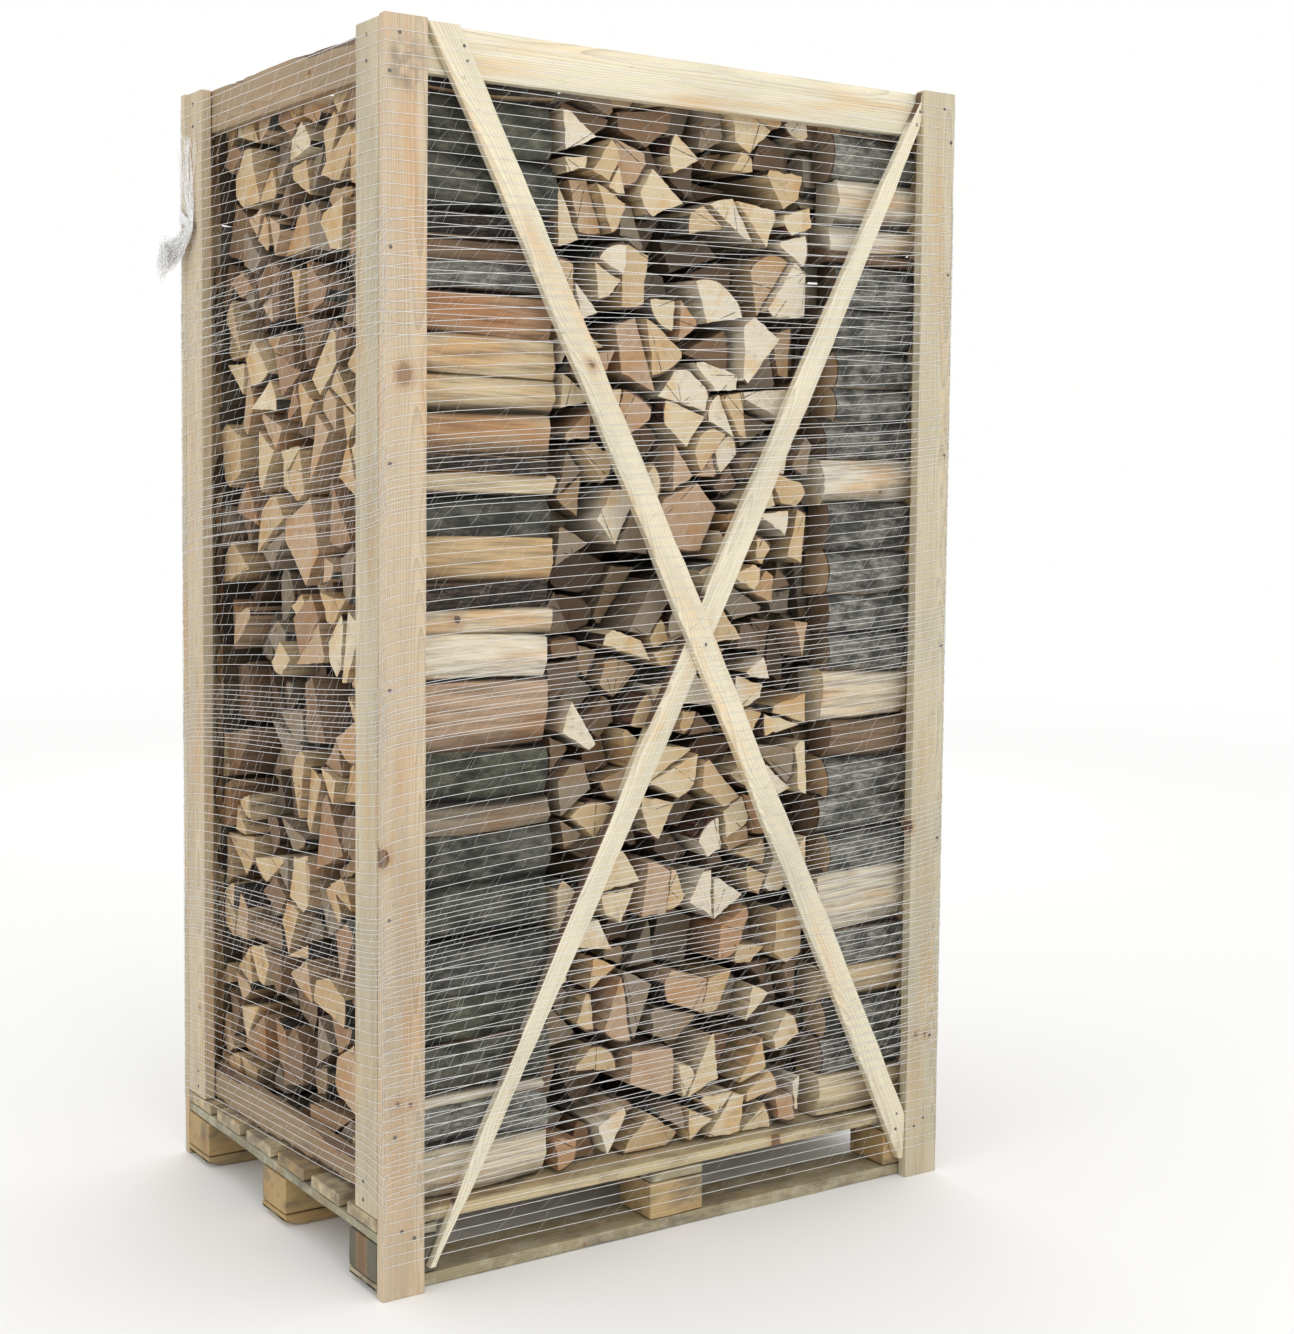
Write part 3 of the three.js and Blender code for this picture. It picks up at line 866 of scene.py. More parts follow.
def behind(outline, point, normal):
    # The part of a convex outline behind a line. A corner stays if it isn't ahead along the normal, and a
    # new corner stands where a side crosses the line, found from the two distances.
    ahead = (outline - point) @ normal
    following = np.roll(outline, -1, 0)
    followingAhead = np.roll(ahead, -1)
    crossed = ahead * followingAhead < 0
    share = np.where(crossed, ahead / np.where(crossed, ahead - followingAhead, 1), 0)
    both = np.stack([outline, outline + share[:, None] * (following - outline)], 1).reshape(-1, 2)
    return both[np.stack([ahead <= 0, crossed], 1).ravel()]


def areaOf(outline):
    # half the sum of the cross products of neighbouring corners
    following = np.roll(outline, -1, 0)
    return (outline[:, 0] * following[:, 1] - outline[:, 1] * following[:, 0]).sum() / 2


def roundsIn(low, high, rng):
    # rounds on staggered rows, each pushed aside a little: a round's outline is the stack's rectangle cut
    # along the middle line to each of its near neighbours
    spacing = stackLook["cell"]
    size = high - low
    rowCount = max(1, round(size[1] / (spacing * 0.87)))
    columnCount = max(1, round(size[0] / spacing))
    row, column = np.meshgrid(np.arange(rowCount), np.arange(columnCount + 1), indexing="ij")
    seeds = np.stack([column - 0.5 * (row % 2) + 0.25, row + 0.5], -1).reshape(-1, 2)
    seeds = low + seeds * size / (columnCount, rowCount)
    seeds += rng.normal(0, spacing * stackLook["jitter"], seeds.shape)
    rectangle = np.array([low, (high[0], low[1]), high, (low[0], high[1])])
    for seed in seeds:
        outline = rectangle
        near = seeds[np.argsort(np.linalg.norm(seeds - seed, axis=1))[1:15]]
        for other in near:
            outline = behind(outline, (seed + other) / 2, other - seed)
            if len(outline) < 3:
                break
        if len(outline) >= 3 and areaOf(outline) > stackLook["leastRound"]:
            yield outline


def splitRound(outline, rng):
    # halves it by a line through its middle, and may split the larger half again at right angles
    count = choose(rng, stackLook["pieces"])
    if areaOf(outline) < stackLook["leastInThree"]:
        count = min(count, 2)
    if areaOf(outline) < stackLook["leastInHalf"] or count == 1:
        return [outline]
    middle = outline.mean(0) + rng.normal(0, 0.008, 2)
    angle = rng.uniform(0, math.pi)
    normal = np.array([math.cos(angle), math.sin(angle)])
    halves = [behind(outline, middle, normal), behind(outline, middle, -normal)]
    halves = [half for half in halves if len(half) >= 3]
    if count == 3 and len(halves) == 2:
        halves.sort(key=areaOf)
        large = halves.pop()
        across = np.array([-normal[1], normal[0]]) + rng.normal(0, 0.25, 2)
        halves += [behind(large, middle, across), behind(large, middle, -across)]
    return [half for half in halves if len(half) >= 3 and areaOf(half) > stackLook["leastSplit"]]


def trimmed(outline, corners):
    # drops the corner that costs the least area, until few enough are left
    while len(outline) > corners:
        before = outline - np.roll(outline, 1, 0)
        after = np.roll(outline, -1, 0) - outline
        loss = np.abs(before[:, 0] * after[:, 1] - before[:, 1] * after[:, 0])
        outline = np.delete(outline, loss.argmin(), 0)
    return outline


def settle(outline, low, high, rng):
    # draws a log in from its neighbours, turns it slightly about its middle and keeps it inside its stack
    middle = outline.mean(0)
    reach = np.linalg.norm(outline - middle, axis=1).mean()
    angle = rng.normal(0, stackLook["turn"] * 0.5)
    turn = np.array([[math.cos(angle), math.sin(angle)], [-math.sin(angle), math.cos(angle)]])
    outline = middle + (outline - middle) @ turn * (1 - stackLook["gap"] / reach * rng.uniform(1.0, 2.2))
    return np.clip(outline, low, high)


def pithOf(outline, rng):
    # A quarter or wedge has its pith at a corner, a half at the middle of its longest side, and a piece from
    # inside the tree has it far off and no bark. Gives the pith and the radius at which the bark begins.
    draw = rng.uniform()
    if draw < stackLook["quarters"]:
        pith = outline[rng.integers(len(outline))]
        return pith, np.linalg.norm(outline - pith, axis=1).max() * rng.uniform(0.80, 0.94)
    if draw < stackLook["quarters"] + stackLook["halves"]:
        sides = np.roll(outline, -1, 0) - outline
        longest = np.linalg.norm(sides, axis=1).argmax()
        pith = outline[longest] + sides[longest] / 2
        return pith, np.linalg.norm(outline - pith, axis=1).max() * rng.uniform(0.84, 0.96)
    angle = rng.uniform(0, 2 * math.pi)
    far = stackLook["pithAway"] * np.array([math.cos(angle), math.sin(angle)])
    return outline.mean(0) + far, noBark


def packedLogs(low, high, rng, barkRange, detail, woodTones=stackLook["woodTones"]):
    # split rounds that fill a rectangle: their outlines are cut off unevenly at its top
    low, high = np.array(low), np.array(high)
    logs = []
    for rounded in roundsIn(low, high + (0, 0.03), rng):
        for outline in splitRound(rounded, rng):
            if outline[:, 1].max() < high[1] - 0.03:
                outline = trimmed(outline, choose(rng, stackLook["corners"]))
            limit = high[1] - rng.uniform(0, 0.008)
            if outline[:, 1].max() > limit:
                outline = behind(outline, np.array([0, limit]), np.array([0.0, 1.0]))
            if len(outline) < 3 or areaOf(outline) < stackLook["leastLog"]:
                continue
            outline = settle(outline, low, high, rng)
            pith, rim = pithOf(outline, rng)
            tones = [choose(rng, woodTones), rng.uniform(*barkRange)]
            logs.append({"outline": outline, "pith": pith, "rim": rim, "tones": tones, "detail": detail})
    return logs


# The rows of logs that lie along the crate's front, from the top down: whether each turns its bark or a
# split side outwards, how high it is, and its tone. The heights are shares, drawn out to fill the stack.
frontRows = {
    "left": [
        ("bark", 38, 0.6), ("bark", 95, 0.05), ("bark", 87, 0.12), ("bark", 40, 0.6), ("split", 36, 0.95),
        ("bark", 42, 0.35), ("split", 67, 0.66), ("split", 59, 0.24), ("split", 56, 0.25), ("split", 68, 0.5),
        ("bark", 24, 0.6), ("split", 32, 0.2), ("bark", 63, 0.15), ("split", 71, 0.4), ("bark", 40, 0.6),
        ("split", 43, 0.12), ("split", 67, 0.04), ("split", 108, 0.6), ("bark", 76, 0.0), ("split", 48, 0.86),
        ("bark", 84, 0.14), ("bark", 78, 0.05), ("bark", 88, 0.2), ("bark", 74, 0.0), ("bark", 80, 0.1),
        ("split", 18, 0.04), ("bark", 63, 0.38), ("split", 79, 0.1),
    ],
    # the right rows' bark tones are mostly light grey: partly the bark's own lighter grey and partly painted
    # light for the glare on this column
    "right": [
        ("bark", 38, 0.5), ("bark", 80, 0.38), ("split", 84, 0.04), ("split", 45, 0.0), ("split", 24, 0.95),
        ("bark", 80, 0.4), ("bark", 80, 0.34), ("bark", 66, 0.42), ("bark", 60, 0.4), ("bark", 71, 0.45),
        ("split", 80, 0.02), ("bark", 89, 0.42), ("bark", 74, 0.4), ("bark", 75, 0.4), ("bark", 74, 0.42),
        ("split", 89, 0.10), ("split", 71, 0.92), ("bark", 75, 0.42), ("bark", 68, 0.4), ("bark", 71, 0.36),
        ("split", 112, 0.03), ("bark", 70, 0.36), ("split", 60, 0.3), ("bark", 75, 0.3), ("bark", 66, 0.4),
        ("split", 80, 0.2),
    ],
}
rowLook = {
    "deep": 0.078,  # along the front
    "backDeep": 0.035,  # and along the back
    "gap": 0.0031,
    "detail": (26, 34),
    "lean": 0.016,
    "taper": 0.05,
    "bow": 0.0030,
    # how far each end may stand back
    "ends": {"left": (0.004, 0.016), "right": (0.032, 0.004), "back": (0.004, 0.004)},
    "closedFrom": 0.027,  # this far in, the logs are closed up into each other
    "overlap": 0.005,
}


def faceRow(rows, face, inwards, deep, low, high, rng):
    # Outlines one above the other, with their outer side at the face and their inner parts closed up into
    # each other, so that no light comes through. A split log has a ridge between two slanting sides. A log
    # with its bark outwards has its pith behind the middle of its outer side, so that the bark circle rounds
    # it off.
    heights = np.array([height for _, height, _ in rows], float)
    levels = high - np.concatenate([[0], np.cumsum(heights)]) * (high - low) / heights.sum()
    logs = []
    for (kind, _, tone), top, bottom in zip(rows, levels[:-1], levels[1:]):
        height = top - bottom
        lower = bottom + rowLook["gap"] * rng.uniform(0, 2)
        upper = top - rowLook["gap"] * rng.uniform(0, 2)
        closed, overlap = rowLook["closedFrom"], rowLook["overlap"]
        back = deep + rng.uniform(-0.005, 0.003)
        inner = [(closed, bottom - overlap), (back, bottom - overlap - 0.0005)]
        inner += [(back, top + overlap + 0.0005), (closed, top + overlap)]
        if kind == "split":
            small = min(1, height / 0.06)
            ridge = bottom + height * rng.uniform(0.2, 0.75)
            slants = rng.uniform((0.002, 0.009), (0.012, 0.0185)) * small
            outer = [(slants[0], upper), (rng.uniform(0.0, 0.003), ridge), (slants[1], lower)]
            pith, rim = (-rng.uniform(0, 0.04), top + rng.uniform(-0.4, 0.4) * height), noBark
            tones = (tone, 0.2)
        else:
            rim = max(height * rng.uniform(0.66, 0.92), 0.045)
            outer = [(-0.004, upper), (-0.004, lower)]
            pith = (rim + 0.0006, (top + bottom) / 2 + rng.uniform(-0.1, 0.1) * height)
            # the wood of a log with its bark outwards gets mostly dark tones: painted shade for the gaps
            # between the rows, where that wood shows
            tones = (rng.choice([0.5, 0.9, 0.97]), tone)
        # so far measured inwards from the face; turned over where inwards is the other way
        outline = np.array(inner + outer) * (inwards, 1) + (face, 0)
        log = {"outline": outline[::inwards], "pith": np.array(pith) * (inwards, 1) + (face, 0)}
        log.update(rim=rim, tones=tones, detail=rowLook["detail"], barkTowards=-inwards)
        log.update({key: rowLook[key] for key in ("lean", "taper", "bow")})
        logs.append(log)
    return logs


# Split logs: the surface of one log

reliefLook = {"split": 0.0014, "splitFine": 0.0006, "bark": 0.0016, "barkFine": 0.0009}


def logSection(log, around, rng):
    # Distance from the middle in each direction: the nearest of the straight split sides and the bark
    # circle. Directions are evenly spread, and the nearest one moves onto each corner, so that corners stay
    # sharp.
    outline = log["outline"]
    middle = outline.mean(0)
    corners = outline - middle
    sides = np.roll(corners, -1, 0) - corners
    lengths = np.maximum(np.linalg.norm(sides, axis=1), 1e-9)
    normals = np.stack([sides[:, 1], -sides[:, 0]], 1) / lengths[:, None]
    reach = (normals * corners).sum(1)
    pith = log["pith"] - middle

    def reachAt(angles):
        # a side is reached at its own distance over the cosine of the angle to it, and the bark circle where
        # a ray from the middle leaves it
        direction = np.stack([np.cos(angles), np.sin(angles)], -1)
        facing = direction @ normals.T
        straight = np.where(facing > 1e-4, reach / np.maximum(facing, 1e-4), noBark)
        towards = direction @ pith
        curved = towards + np.sqrt(np.maximum(towards**2 - pith @ pith + log["rim"] ** 2, 1e-8))
        if "barkTowards" in log:
            curved = np.where(direction[:, 0] * log["barkTowards"] > 0, curved, noBark)
        side = np.where(curved < straight.min(1), -1, straight.argmin(1))
        return np.minimum(straight.min(1), curved), side

    fine = np.linspace(0, 2 * math.pi, 721)[:-1]
    side = reachAt(fine)[1]
    turns = fine[side != np.roll(side, 1)]
    angles = (np.arange(around) + rng.uniform()) * 2 * math.pi / around % (2 * math.pi)
    apart = np.abs((turns[:, None] - angles + math.pi) % (2 * math.pi) - math.pi)
    angles[apart.argmin(1)] = turns
    angles = np.sort(angles)
    distance, _ = reachAt(angles)
    following = np.append(angles[1:], angles[0] + 2 * math.pi)
    onBark = reachAt((angles + following) / 2)[1] == -1
    return middle, pith, angles, distance, onBark


def logSurface(log, rng):
    # The section carried along the log: it tapers, bends and leans a little, its split sides get long fibres
    # and its bark gets ridges, and both ends are sawn off at a slight angle. The first and last two rings
    # are the sawn ends, which shrink towards a pole.
    sheets, around = log["detail"]
    middle, pith, angles, distance, onBark = logSection(log, around, rng)
    low, high = log["span"]
    half = (high - low) / 2
    travel = np.concatenate([[-1, -1], np.linspace(-1, 1, sheets), [1, 1]])
    shrink = np.ones(sheets + 4)
    shrink[[0, -1]] = 0.45
    shrink[[1, -2]] = 0.93
    taper = rng.normal(0, log.get("taper", 0.03))
    size = 1 + taper * travel + 0.015 * np.sin(travel * 3 + rng.uniform(0, 6)) - 0.01
    surface = np.empty((sheets + 4, around, 3))
    direction = np.stack([np.cos(angles), np.sin(angles)], -1)
    surface[..., :2] = direction * distance[:, None] * np.minimum(size, 1.01)[:, None, None]
    surface[..., 2] = travel[:, None] * half
    grain = surface + rng.uniform(-50, 50, 3)
    barkShare = (onBark + np.roll(onBark, 1)) / 2
    splitRelief = waves(grain, rng, 0.030, 9.0) * reliefLook["split"]
    splitRelief += waves(grain, rng, 0.009, 7.0) * reliefLook["splitFine"]
    barkRelief = waves(grain, rng, 0.022, 2.2) * reliefLook["bark"]
    barkRelief += waves(grain, rng, 0.009, 2.0) * reliefLook["barkFine"]
    relief = splitRelief * (1 - barkShare) + barkRelief * barkShare - 0.0014
    surface[..., :2] += direction * relief[..., None]
    surface[..., :2] *= shrink[:, None, None]
    local = surface.copy()
    lean = rng.normal(0, log.get("lean", stackLook["lean"]), 2) * (0.4, 1)
    bow = rng.normal(0, log.get("bow", 0.0016), 2) * (0.4, 1)
    surface[..., :2] += (travel * half)[:, None, None] * lean + (1 - travel**2)[:, None, None] * bow
    sawAngles = rng.normal(0, 0.07, (2, 2))
    tilt = sawAngles[0] * (1 - travel[:, None]) / 2 + sawAngles[1] * (1 + travel[:, None]) / 2
    surface[..., 2] += (local[..., :2] * tilt[:, None, :]).sum(-1)
    surface[..., :2] += middle
    surface[..., 2] += (low + high) / 2
    local[..., :2] -= pith
    kinds = np.where(np.arange(sheets + 3)[:, None] < 2, 2.0, onBark[None, :].astype(float))
    kinds[-2:] = 2.0
    return surface, local, kinds


def buildLogs(name, logs, axis, limits, material, rng):
    # all logs of one tier in one mesh, in groups of equal detail, and kept inside the stack
    groups = {}
    for log in logs:
        groups.setdefault(log["detail"], []).append(log)
    points, quads, triangles, kinds, triangleKinds = [], [], [], [], []
    positions, tones, rims, inRow = [], [], [], []
    start = 0
    for (sheets, around), members in groups.items():
        made = [logSurface(log, rng) for log in members]
        flat = withPoles(np.stack([surface for surface, _, _ in made]))
        quad, triangle = loftFaces(len(members), sheets + 4, around)
        quads.append(quad + start)
        triangles.append(triangle + start)
        kinds.append(np.concatenate([kind.ravel() for _, _, kind in made]))
        triangleKinds.append(np.full(len(triangle), 2.0))
        positions.append(withPoles(np.stack([local for _, local, _ in made])).reshape(-1, 3))
        values = np.array([(*log["tones"], rng.uniform()) for log in members])
        tones.append(np.repeat(values, flat.shape[1], 0))
        rims.append(np.repeat(np.array([log["rim"] for log in members]), flat.shape[1]))
        inRow.append(np.repeat(np.array([float("barkTowards" in log) for log in members]), flat.shape[1]))
        points.append(flat.reshape(-1, 3))
        start += len(points[-1])
    flat = np.concatenate(points)
    # logs along X keep (Y, Z) as their section, and those along Y have (X, Z) with their travel towards -Y
    world = flat[:, [2, 0, 1]] if axis == "X" else flat[:, [0, 2, 1]] * (1, -1, 1)
    world = np.clip(world, *limits)
    quads, triangles = np.concatenate(quads), np.concatenate(triangles)
    piece = buildMesh(name, world, quads, triangles, material, sharpAngle=38)
    addValues(piece, "logFace", np.concatenate(kinds + triangleKinds), "FACE")
    addValues(piece, "logPos", np.concatenate(positions))
    addValues(piece, "logTone", np.concatenate(tones))
    addValues(piece, "logRim", np.concatenate(rims))
    addValues(piece, "logRow", np.concatenate(inRow))
    return piece


recessLook = {
    "flush": (0.56, 0.011),  # how many ends are nearly flush, and how far back those stand at most
    "behind": (0.44, 0.034),  # how many of the others are a little deeper, and how far back those stand
    "deep": 0.085,  # and the deepest of the rest
    "patch": 0.30,  # ends of one patch of this size tend to stand equally far back
    "patchWeight": 0.16,
}


def giveSpans(logs, stack, rng):
    # Each outer end stands back by a random recess, found from a draw that near neighbours partly share, and
    # each inner end by a small one. What is well back gets a darker wood tone, as painted shade.
    low, high = stack["span"]
    middles = np.array([(*log["outline"].mean(0), 0) for log in logs])
    draws = rng.uniform(size=len(logs))
    draws += recessLook["patchWeight"] * waves(middles, rng, recessLook["patch"])
    flush, flushBack = stack.get("flush", recessLook["flush"])
    later, laterBack = recessLook["behind"]
    stops = (0, flush, flush + later * (1 - flush), 1)
    recesses = np.interp(draws, stops, (0.0, flushBack, laterBack, recessLook["deep"]))
    for log, recess in zip(logs, recesses):
        back = [rng.uniform(0.001, 0.010), rng.uniform(0.001, 0.010)]
        back[stack["outerEnd"]] = recess + 0.001
        log["span"] = (low + back[0], high - back[1])
        # a deeply recessed end gets a dark wood tone: painted shade
        if recess > stackLook["setBackFrom"]:
            log["tones"][0] = choose(rng, stackLook["darkTones"])


stacks = {
    # The span and the range of bark tones are those of all logs of a stack. outerEnd is 0 when the low end
    # of the logs' own travel shows, and 1 when the high end does.
    "left": {
        "axis": "X",
        "span": (-0.5345, -0.240),
        "bark": (0.0, 0.8),
        "outerEnd": 0,
        "flush": (0.68, 0.014),
        "woodTones": (
            (0.15, 0.05), (0.3, 0.12), (0.43, 0.28), (0.54, 0.18), (0.8, 0.12), (0.87, 0.15), (0.93, 0.10),
        ),
    },
    "right": {"axis": "X", "span": (0.322, 0.5345), "bark": (0.0, 0.8), "outerEnd": 1},
    "centre_front": {"axis": "Y", "span": (0.131, 0.3745), "bark": (0.3, 1.0), "outerEnd": 1},
    "centre_core": {"axis": "Y", "span": (-0.122, 0.122), "bark": (0.2, 1.0), "outerEnd": 1},
    "centre_back": {"axis": "Y", "span": (-0.3745, -0.131), "bark": (0.3, 1.0), "outerEnd": 0},
}
detailLook = {"ends": (3, 32), "core": (3, 12), "sideEnds": (3, 28)}
tierNames = ("low", "middle", "top")


def addStack(number, name, stack, material):
    # the logs of all tiers are laid out together and shared out by the height of their middles
    rng = np.random.default_rng(40 + number)
    nodes = [f"logs_{name}_{tier}" for tier in tierNames]
    low = np.array(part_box(nodes[0])[0])
    high = np.array(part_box(nodes[2])[1])
    bottom, top = low[2], stackLook["top"]
    if stack["axis"] == "X":
        # a row along the front, the same kinds of logs in another order along the back, and split rounds
        # with their ends to the side between the two
        rows = frontRows[name]
        logs = faceRow(rows, low[1], 1, rowLook["deep"], bottom, top, rng)
        shuffled = [rows[k] for k in rng.permutation(len(rows))]
        logs += faceRow(shuffled, high[1], -1, rowLook["backDeep"], bottom, top, rng)
        for log in logs:
            ends = rng.uniform(0.0, rowLook["ends"][name if log["barkTowards"] < 0 else "back"])
            log["span"] = (stack["span"][0] + ends[0], stack["span"][1] - ends[1])
        corners = (low[1] + rowLook["deep"] + 0.001, bottom), (high[1] - rowLook["backDeep"] + 0.002, top)
        tones = stack.get("woodTones", stackLook["woodTones"])
        inner = packedLogs(*corners, rng, stack["bark"], detailLook["sideEnds"], tones)
        giveSpans(inner, stack, rng)
        logs += inner
    else:
        detail = detailLook["core" if name == "centre_core" else "ends"]
        logs = packedLogs((low[0], bottom), (high[0], top), rng, stack["bark"], detail)
        giveSpans(logs, stack, rng)
    tierHeight = (high[2] - low[2]) / 3
    tiers = [min(2, int((log["outline"][:, 1].mean() - bottom) / tierHeight)) for log in logs]
    for index, node in enumerate(nodes):
        members = [log for log, tier in zip(logs, tiers) if tier == index]
        piece = buildLogs(pieceName(node), members, stack["axis"], (low, high), material, rng)
        place(piece, "firewood", [node])
    print(name, "stack:", len(logs), "logs")


splitLogs = logMaterial()
for number, (name, stack) in enumerate(stacks.items()):
    addStack(number, name, stack, splitLogs)

# Net

netLook = {
    "threads": 27,
    "spacing": 0.0178,
    "bottom": 0.056,
    "turns": 6,
    "rise": 1.455,  # from the first level turn to the last
    "cornerRadius": 0.004,
    "perSide": 26,
    "threadRadius": 0.00048,
    "tape": (1.2, 0.5),  # the threads are flat tapes: how wide and how thick against their radius
    "crossRadius": 0.00018,
    "crossSpacing": 0.036,
    "crossTick": 0.012,  # how far a cross thread slants from one thread to the next
    "start": 0.2455,  # in turns: the net's first end is at the front left post
    "liftedTo": 0.1065,  # where its lower edge is along the left side
    "liftEnds": 0.32,  # the height from which no thread is lifted any more
    "layer": 0.00012,  # each turn lies this far outside the one before
    "offset": 0.0006,
    "squareness": 31,  # an odd power: how quickly a thread turns its flat side at a corner
}


def netMaterial(name, worn, clean):
    # pale plastic thread, a little duller in places
    material, tree = newMaterial(name)
    position = addNode(tree, "TexCoord", {}).outputs["Object"]
    wear = noise(tree, position, 40.0, 4.0)
    colour = blended(tree, wear, worn, clean)
    twist = grain(tree, position, (1, 1, 6), 300.0)
    finishMaterial(tree, colour, remap(tree, twist, 0.3, 0.7, 0.35, 0.55), twist, 0.0002)
    return material


def netRoute(progress, height, layer):
    # A point of the net at a progress in turns and a height. One turn is a rounded rectangle, which starts
    # at the back left corner and runs along the left side first. Where a bowed lath stands out further than
    # the posts, the net runs straight from the post to the lath and on to the other post.
    corner = np.array(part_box("post_back_right_face_board")[1])[:2]
    section = roundedSection(corner + netLook["offset"], netLook["cornerRadius"], netLook["perSide"])
    section = np.roll(section, netLook["perSide"], 0)  # from the front left corner back to the back left one
    closed = np.concatenate([section, section[:1]])
    where = progress % 1 * len(section)
    x = np.interp(where, np.arange(len(closed)), closed[:, 0])
    y = np.interp(where, np.arange(len(closed)), closed[:, 1])
    level = np.clip((height - lathLook["foot"]) / (lathLook["head"] - lathLook["foot"]), 0, 1)
    lathX, _, bow = lathSpan(lathLook["outer"], level)
    proud = np.maximum(lathLook["back"] + bow + lathLook["thickness"] + 0.0006 - corner[1], 0)
    for side in (-1, 1):
        crown = lathX * -side
        rising, falling = (x + corner[0]) / (crown + corner[0]), (corner[0] - x) / (corner[0] - crown)
        share = np.where(x < crown, rising, falling)
        onFace = side * y > corner[1] - 0.01
        y = y + side * np.where(onFace, proud * np.clip(share, 0, 1), 0)
    facing = [np.clip(value / reach, -1, 1) ** netLook["squareness"] for value, reach in zip((x, y), corner)]
    outward = np.stack([*facing, 0 * x], -1)
    outward /= np.maximum(np.linalg.norm(outward, axis=-1), 1e-6)[..., None]
    points = np.stack([x, y, height], -1) + outward * (layer * netLook["layer"])[..., None]
    return points, outward


def netHeight(strand, progress, rng):
    # level for the first turn, climbing evenly over the middle turns, and level again for the last, with a
    # slow wander that neighbouring threads share and a smaller one of their own. Along the left side the
    # lower edge is lifted to the deck, and the threads above it are lifted less and less.
    climb = np.clip((progress - 1) / (netLook["turns"] - 2), 0, 1) * netLook["rise"]
    field = np.stack([strand * 0.35, progress * 9, 0 * strand], -1)
    shared = waves(field, rng, 1.9)
    own = waves(np.stack([strand * 9.7, progress * 14, 0 * strand], -1), rng, 1.3)
    level = netLook["bottom"] + strand * netLook["spacing"] + climb + 0.0022 * shared + 0.0008 * own
    onLeft = np.interp(progress % 1, (0, 0.205, 0.25, 0.955, 1), (1, 1, 0, 0, 1))
    most = netLook["liftedTo"] - netLook["bottom"]
    lift = np.interp(level, (netLook["bottom"], netLook["liftEnds"]), (most, 0))
    return level + onLeft * lift


def tube(points, first, second, radius, around=3):
    # rings of a few points round each centre line, in the plane of two directions
    angles = np.arange(around) * 2 * math.pi / around
    ring = np.cos(angles)[:, None] * first[..., None, :] + np.sin(angles)[:, None] * second[..., None, :]
    return points[..., None, :] + ring * radius


def addNet(material):
    # long threads: each keeps its own height above the net's lower edge and goes round all the turns
    rng = np.random.default_rng(71)
    steps = netLook["turns"] * netLook["perSide"] * 4 + 1
    progress = np.linspace(netLook["start"], netLook["turns"], steps)
    strand, along = np.meshgrid(np.arange(netLook["threads"], dtype=float), progress, indexing="ij")
    height = netHeight(strand, along, rng)
    points, outward = netRoute(along, height, along)
    up = np.zeros_like(points)
    up[..., 2] = 1
    wide, thick = netLook["tape"]
    rings = tube(points, up * wide, outward * thick, netLook["threadRadius"])
    quads, triangles = loftFaces(netLook["threads"], steps, 3)
    piece = buildMesh("NetThreads", withPoles(rings).reshape(-1, 3), quads, triangles, material)
    place(piece, "netting", ["net_wrap"])

    # cross threads: each slants from one thread up to the next, runs along that one for a little way and
    # then slants on, so it has two points on every thread
    perimeter = 2 * (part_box("net_wrap")[1][0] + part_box("net_wrap")[1][1]) * 2
    columns = int(perimeter * (netLook["turns"] - netLook["start"]) / netLook["crossSpacing"])
    shape = (columns, netLook["threads"])
    leaves = np.arange(columns)[:, None] + rng.uniform(0, 1, shape)
    tick = netLook["crossTick"] / netLook["crossSpacing"]
    arrives = np.roll(leaves, 1, 1) + tick * rng.uniform(0.4, 1.6, shape)
    arrives[:, 0] = leaves[:, 0] - 0.2
    along = np.stack([arrives, leaves], -1).reshape(columns, -1) * netLook["crossSpacing"] / perimeter
    along = np.clip(along + netLook["start"], netLook["start"], netLook["turns"] - 1e-3)
    rows = np.repeat(np.arange(netLook["threads"]), 2)[None]
    index = np.clip(np.searchsorted(progress, along), 1, steps - 1)
    share = (along - progress[index - 1]) / (progress[index] - progress[index - 1])
    level = height[rows, index - 1] * (1 - share) + height[rows, index] * share
    points, outward = netRoute(along, level, along)
    flow = np.gradient(points, axis=1)
    flow /= np.linalg.norm(flow, axis=-1)[..., None]
    across = np.cross(outward, flow)
    rings = withPoles(tube(points, outward, -across, netLook["crossRadius"]))
    # in two pieces, for the lower and the upper turns
    for name, part in (("Lower", rings[: columns // 2]), ("Upper", rings[columns // 2 :])):
        quads, triangles = loftFaces(len(part), rows.size, 3)
        piece = buildMesh(f"NetCrossThreads{name}", part.reshape(-1, 3), quads, triangles, material)
        place(piece, "netting", [])
    print("net:", columns, "cross threads")


netThread = netMaterial("netThread", (0.76, 0.76, 0.74, 1), (0.94, 0.94, 0.93, 1))
addNet(netThread)

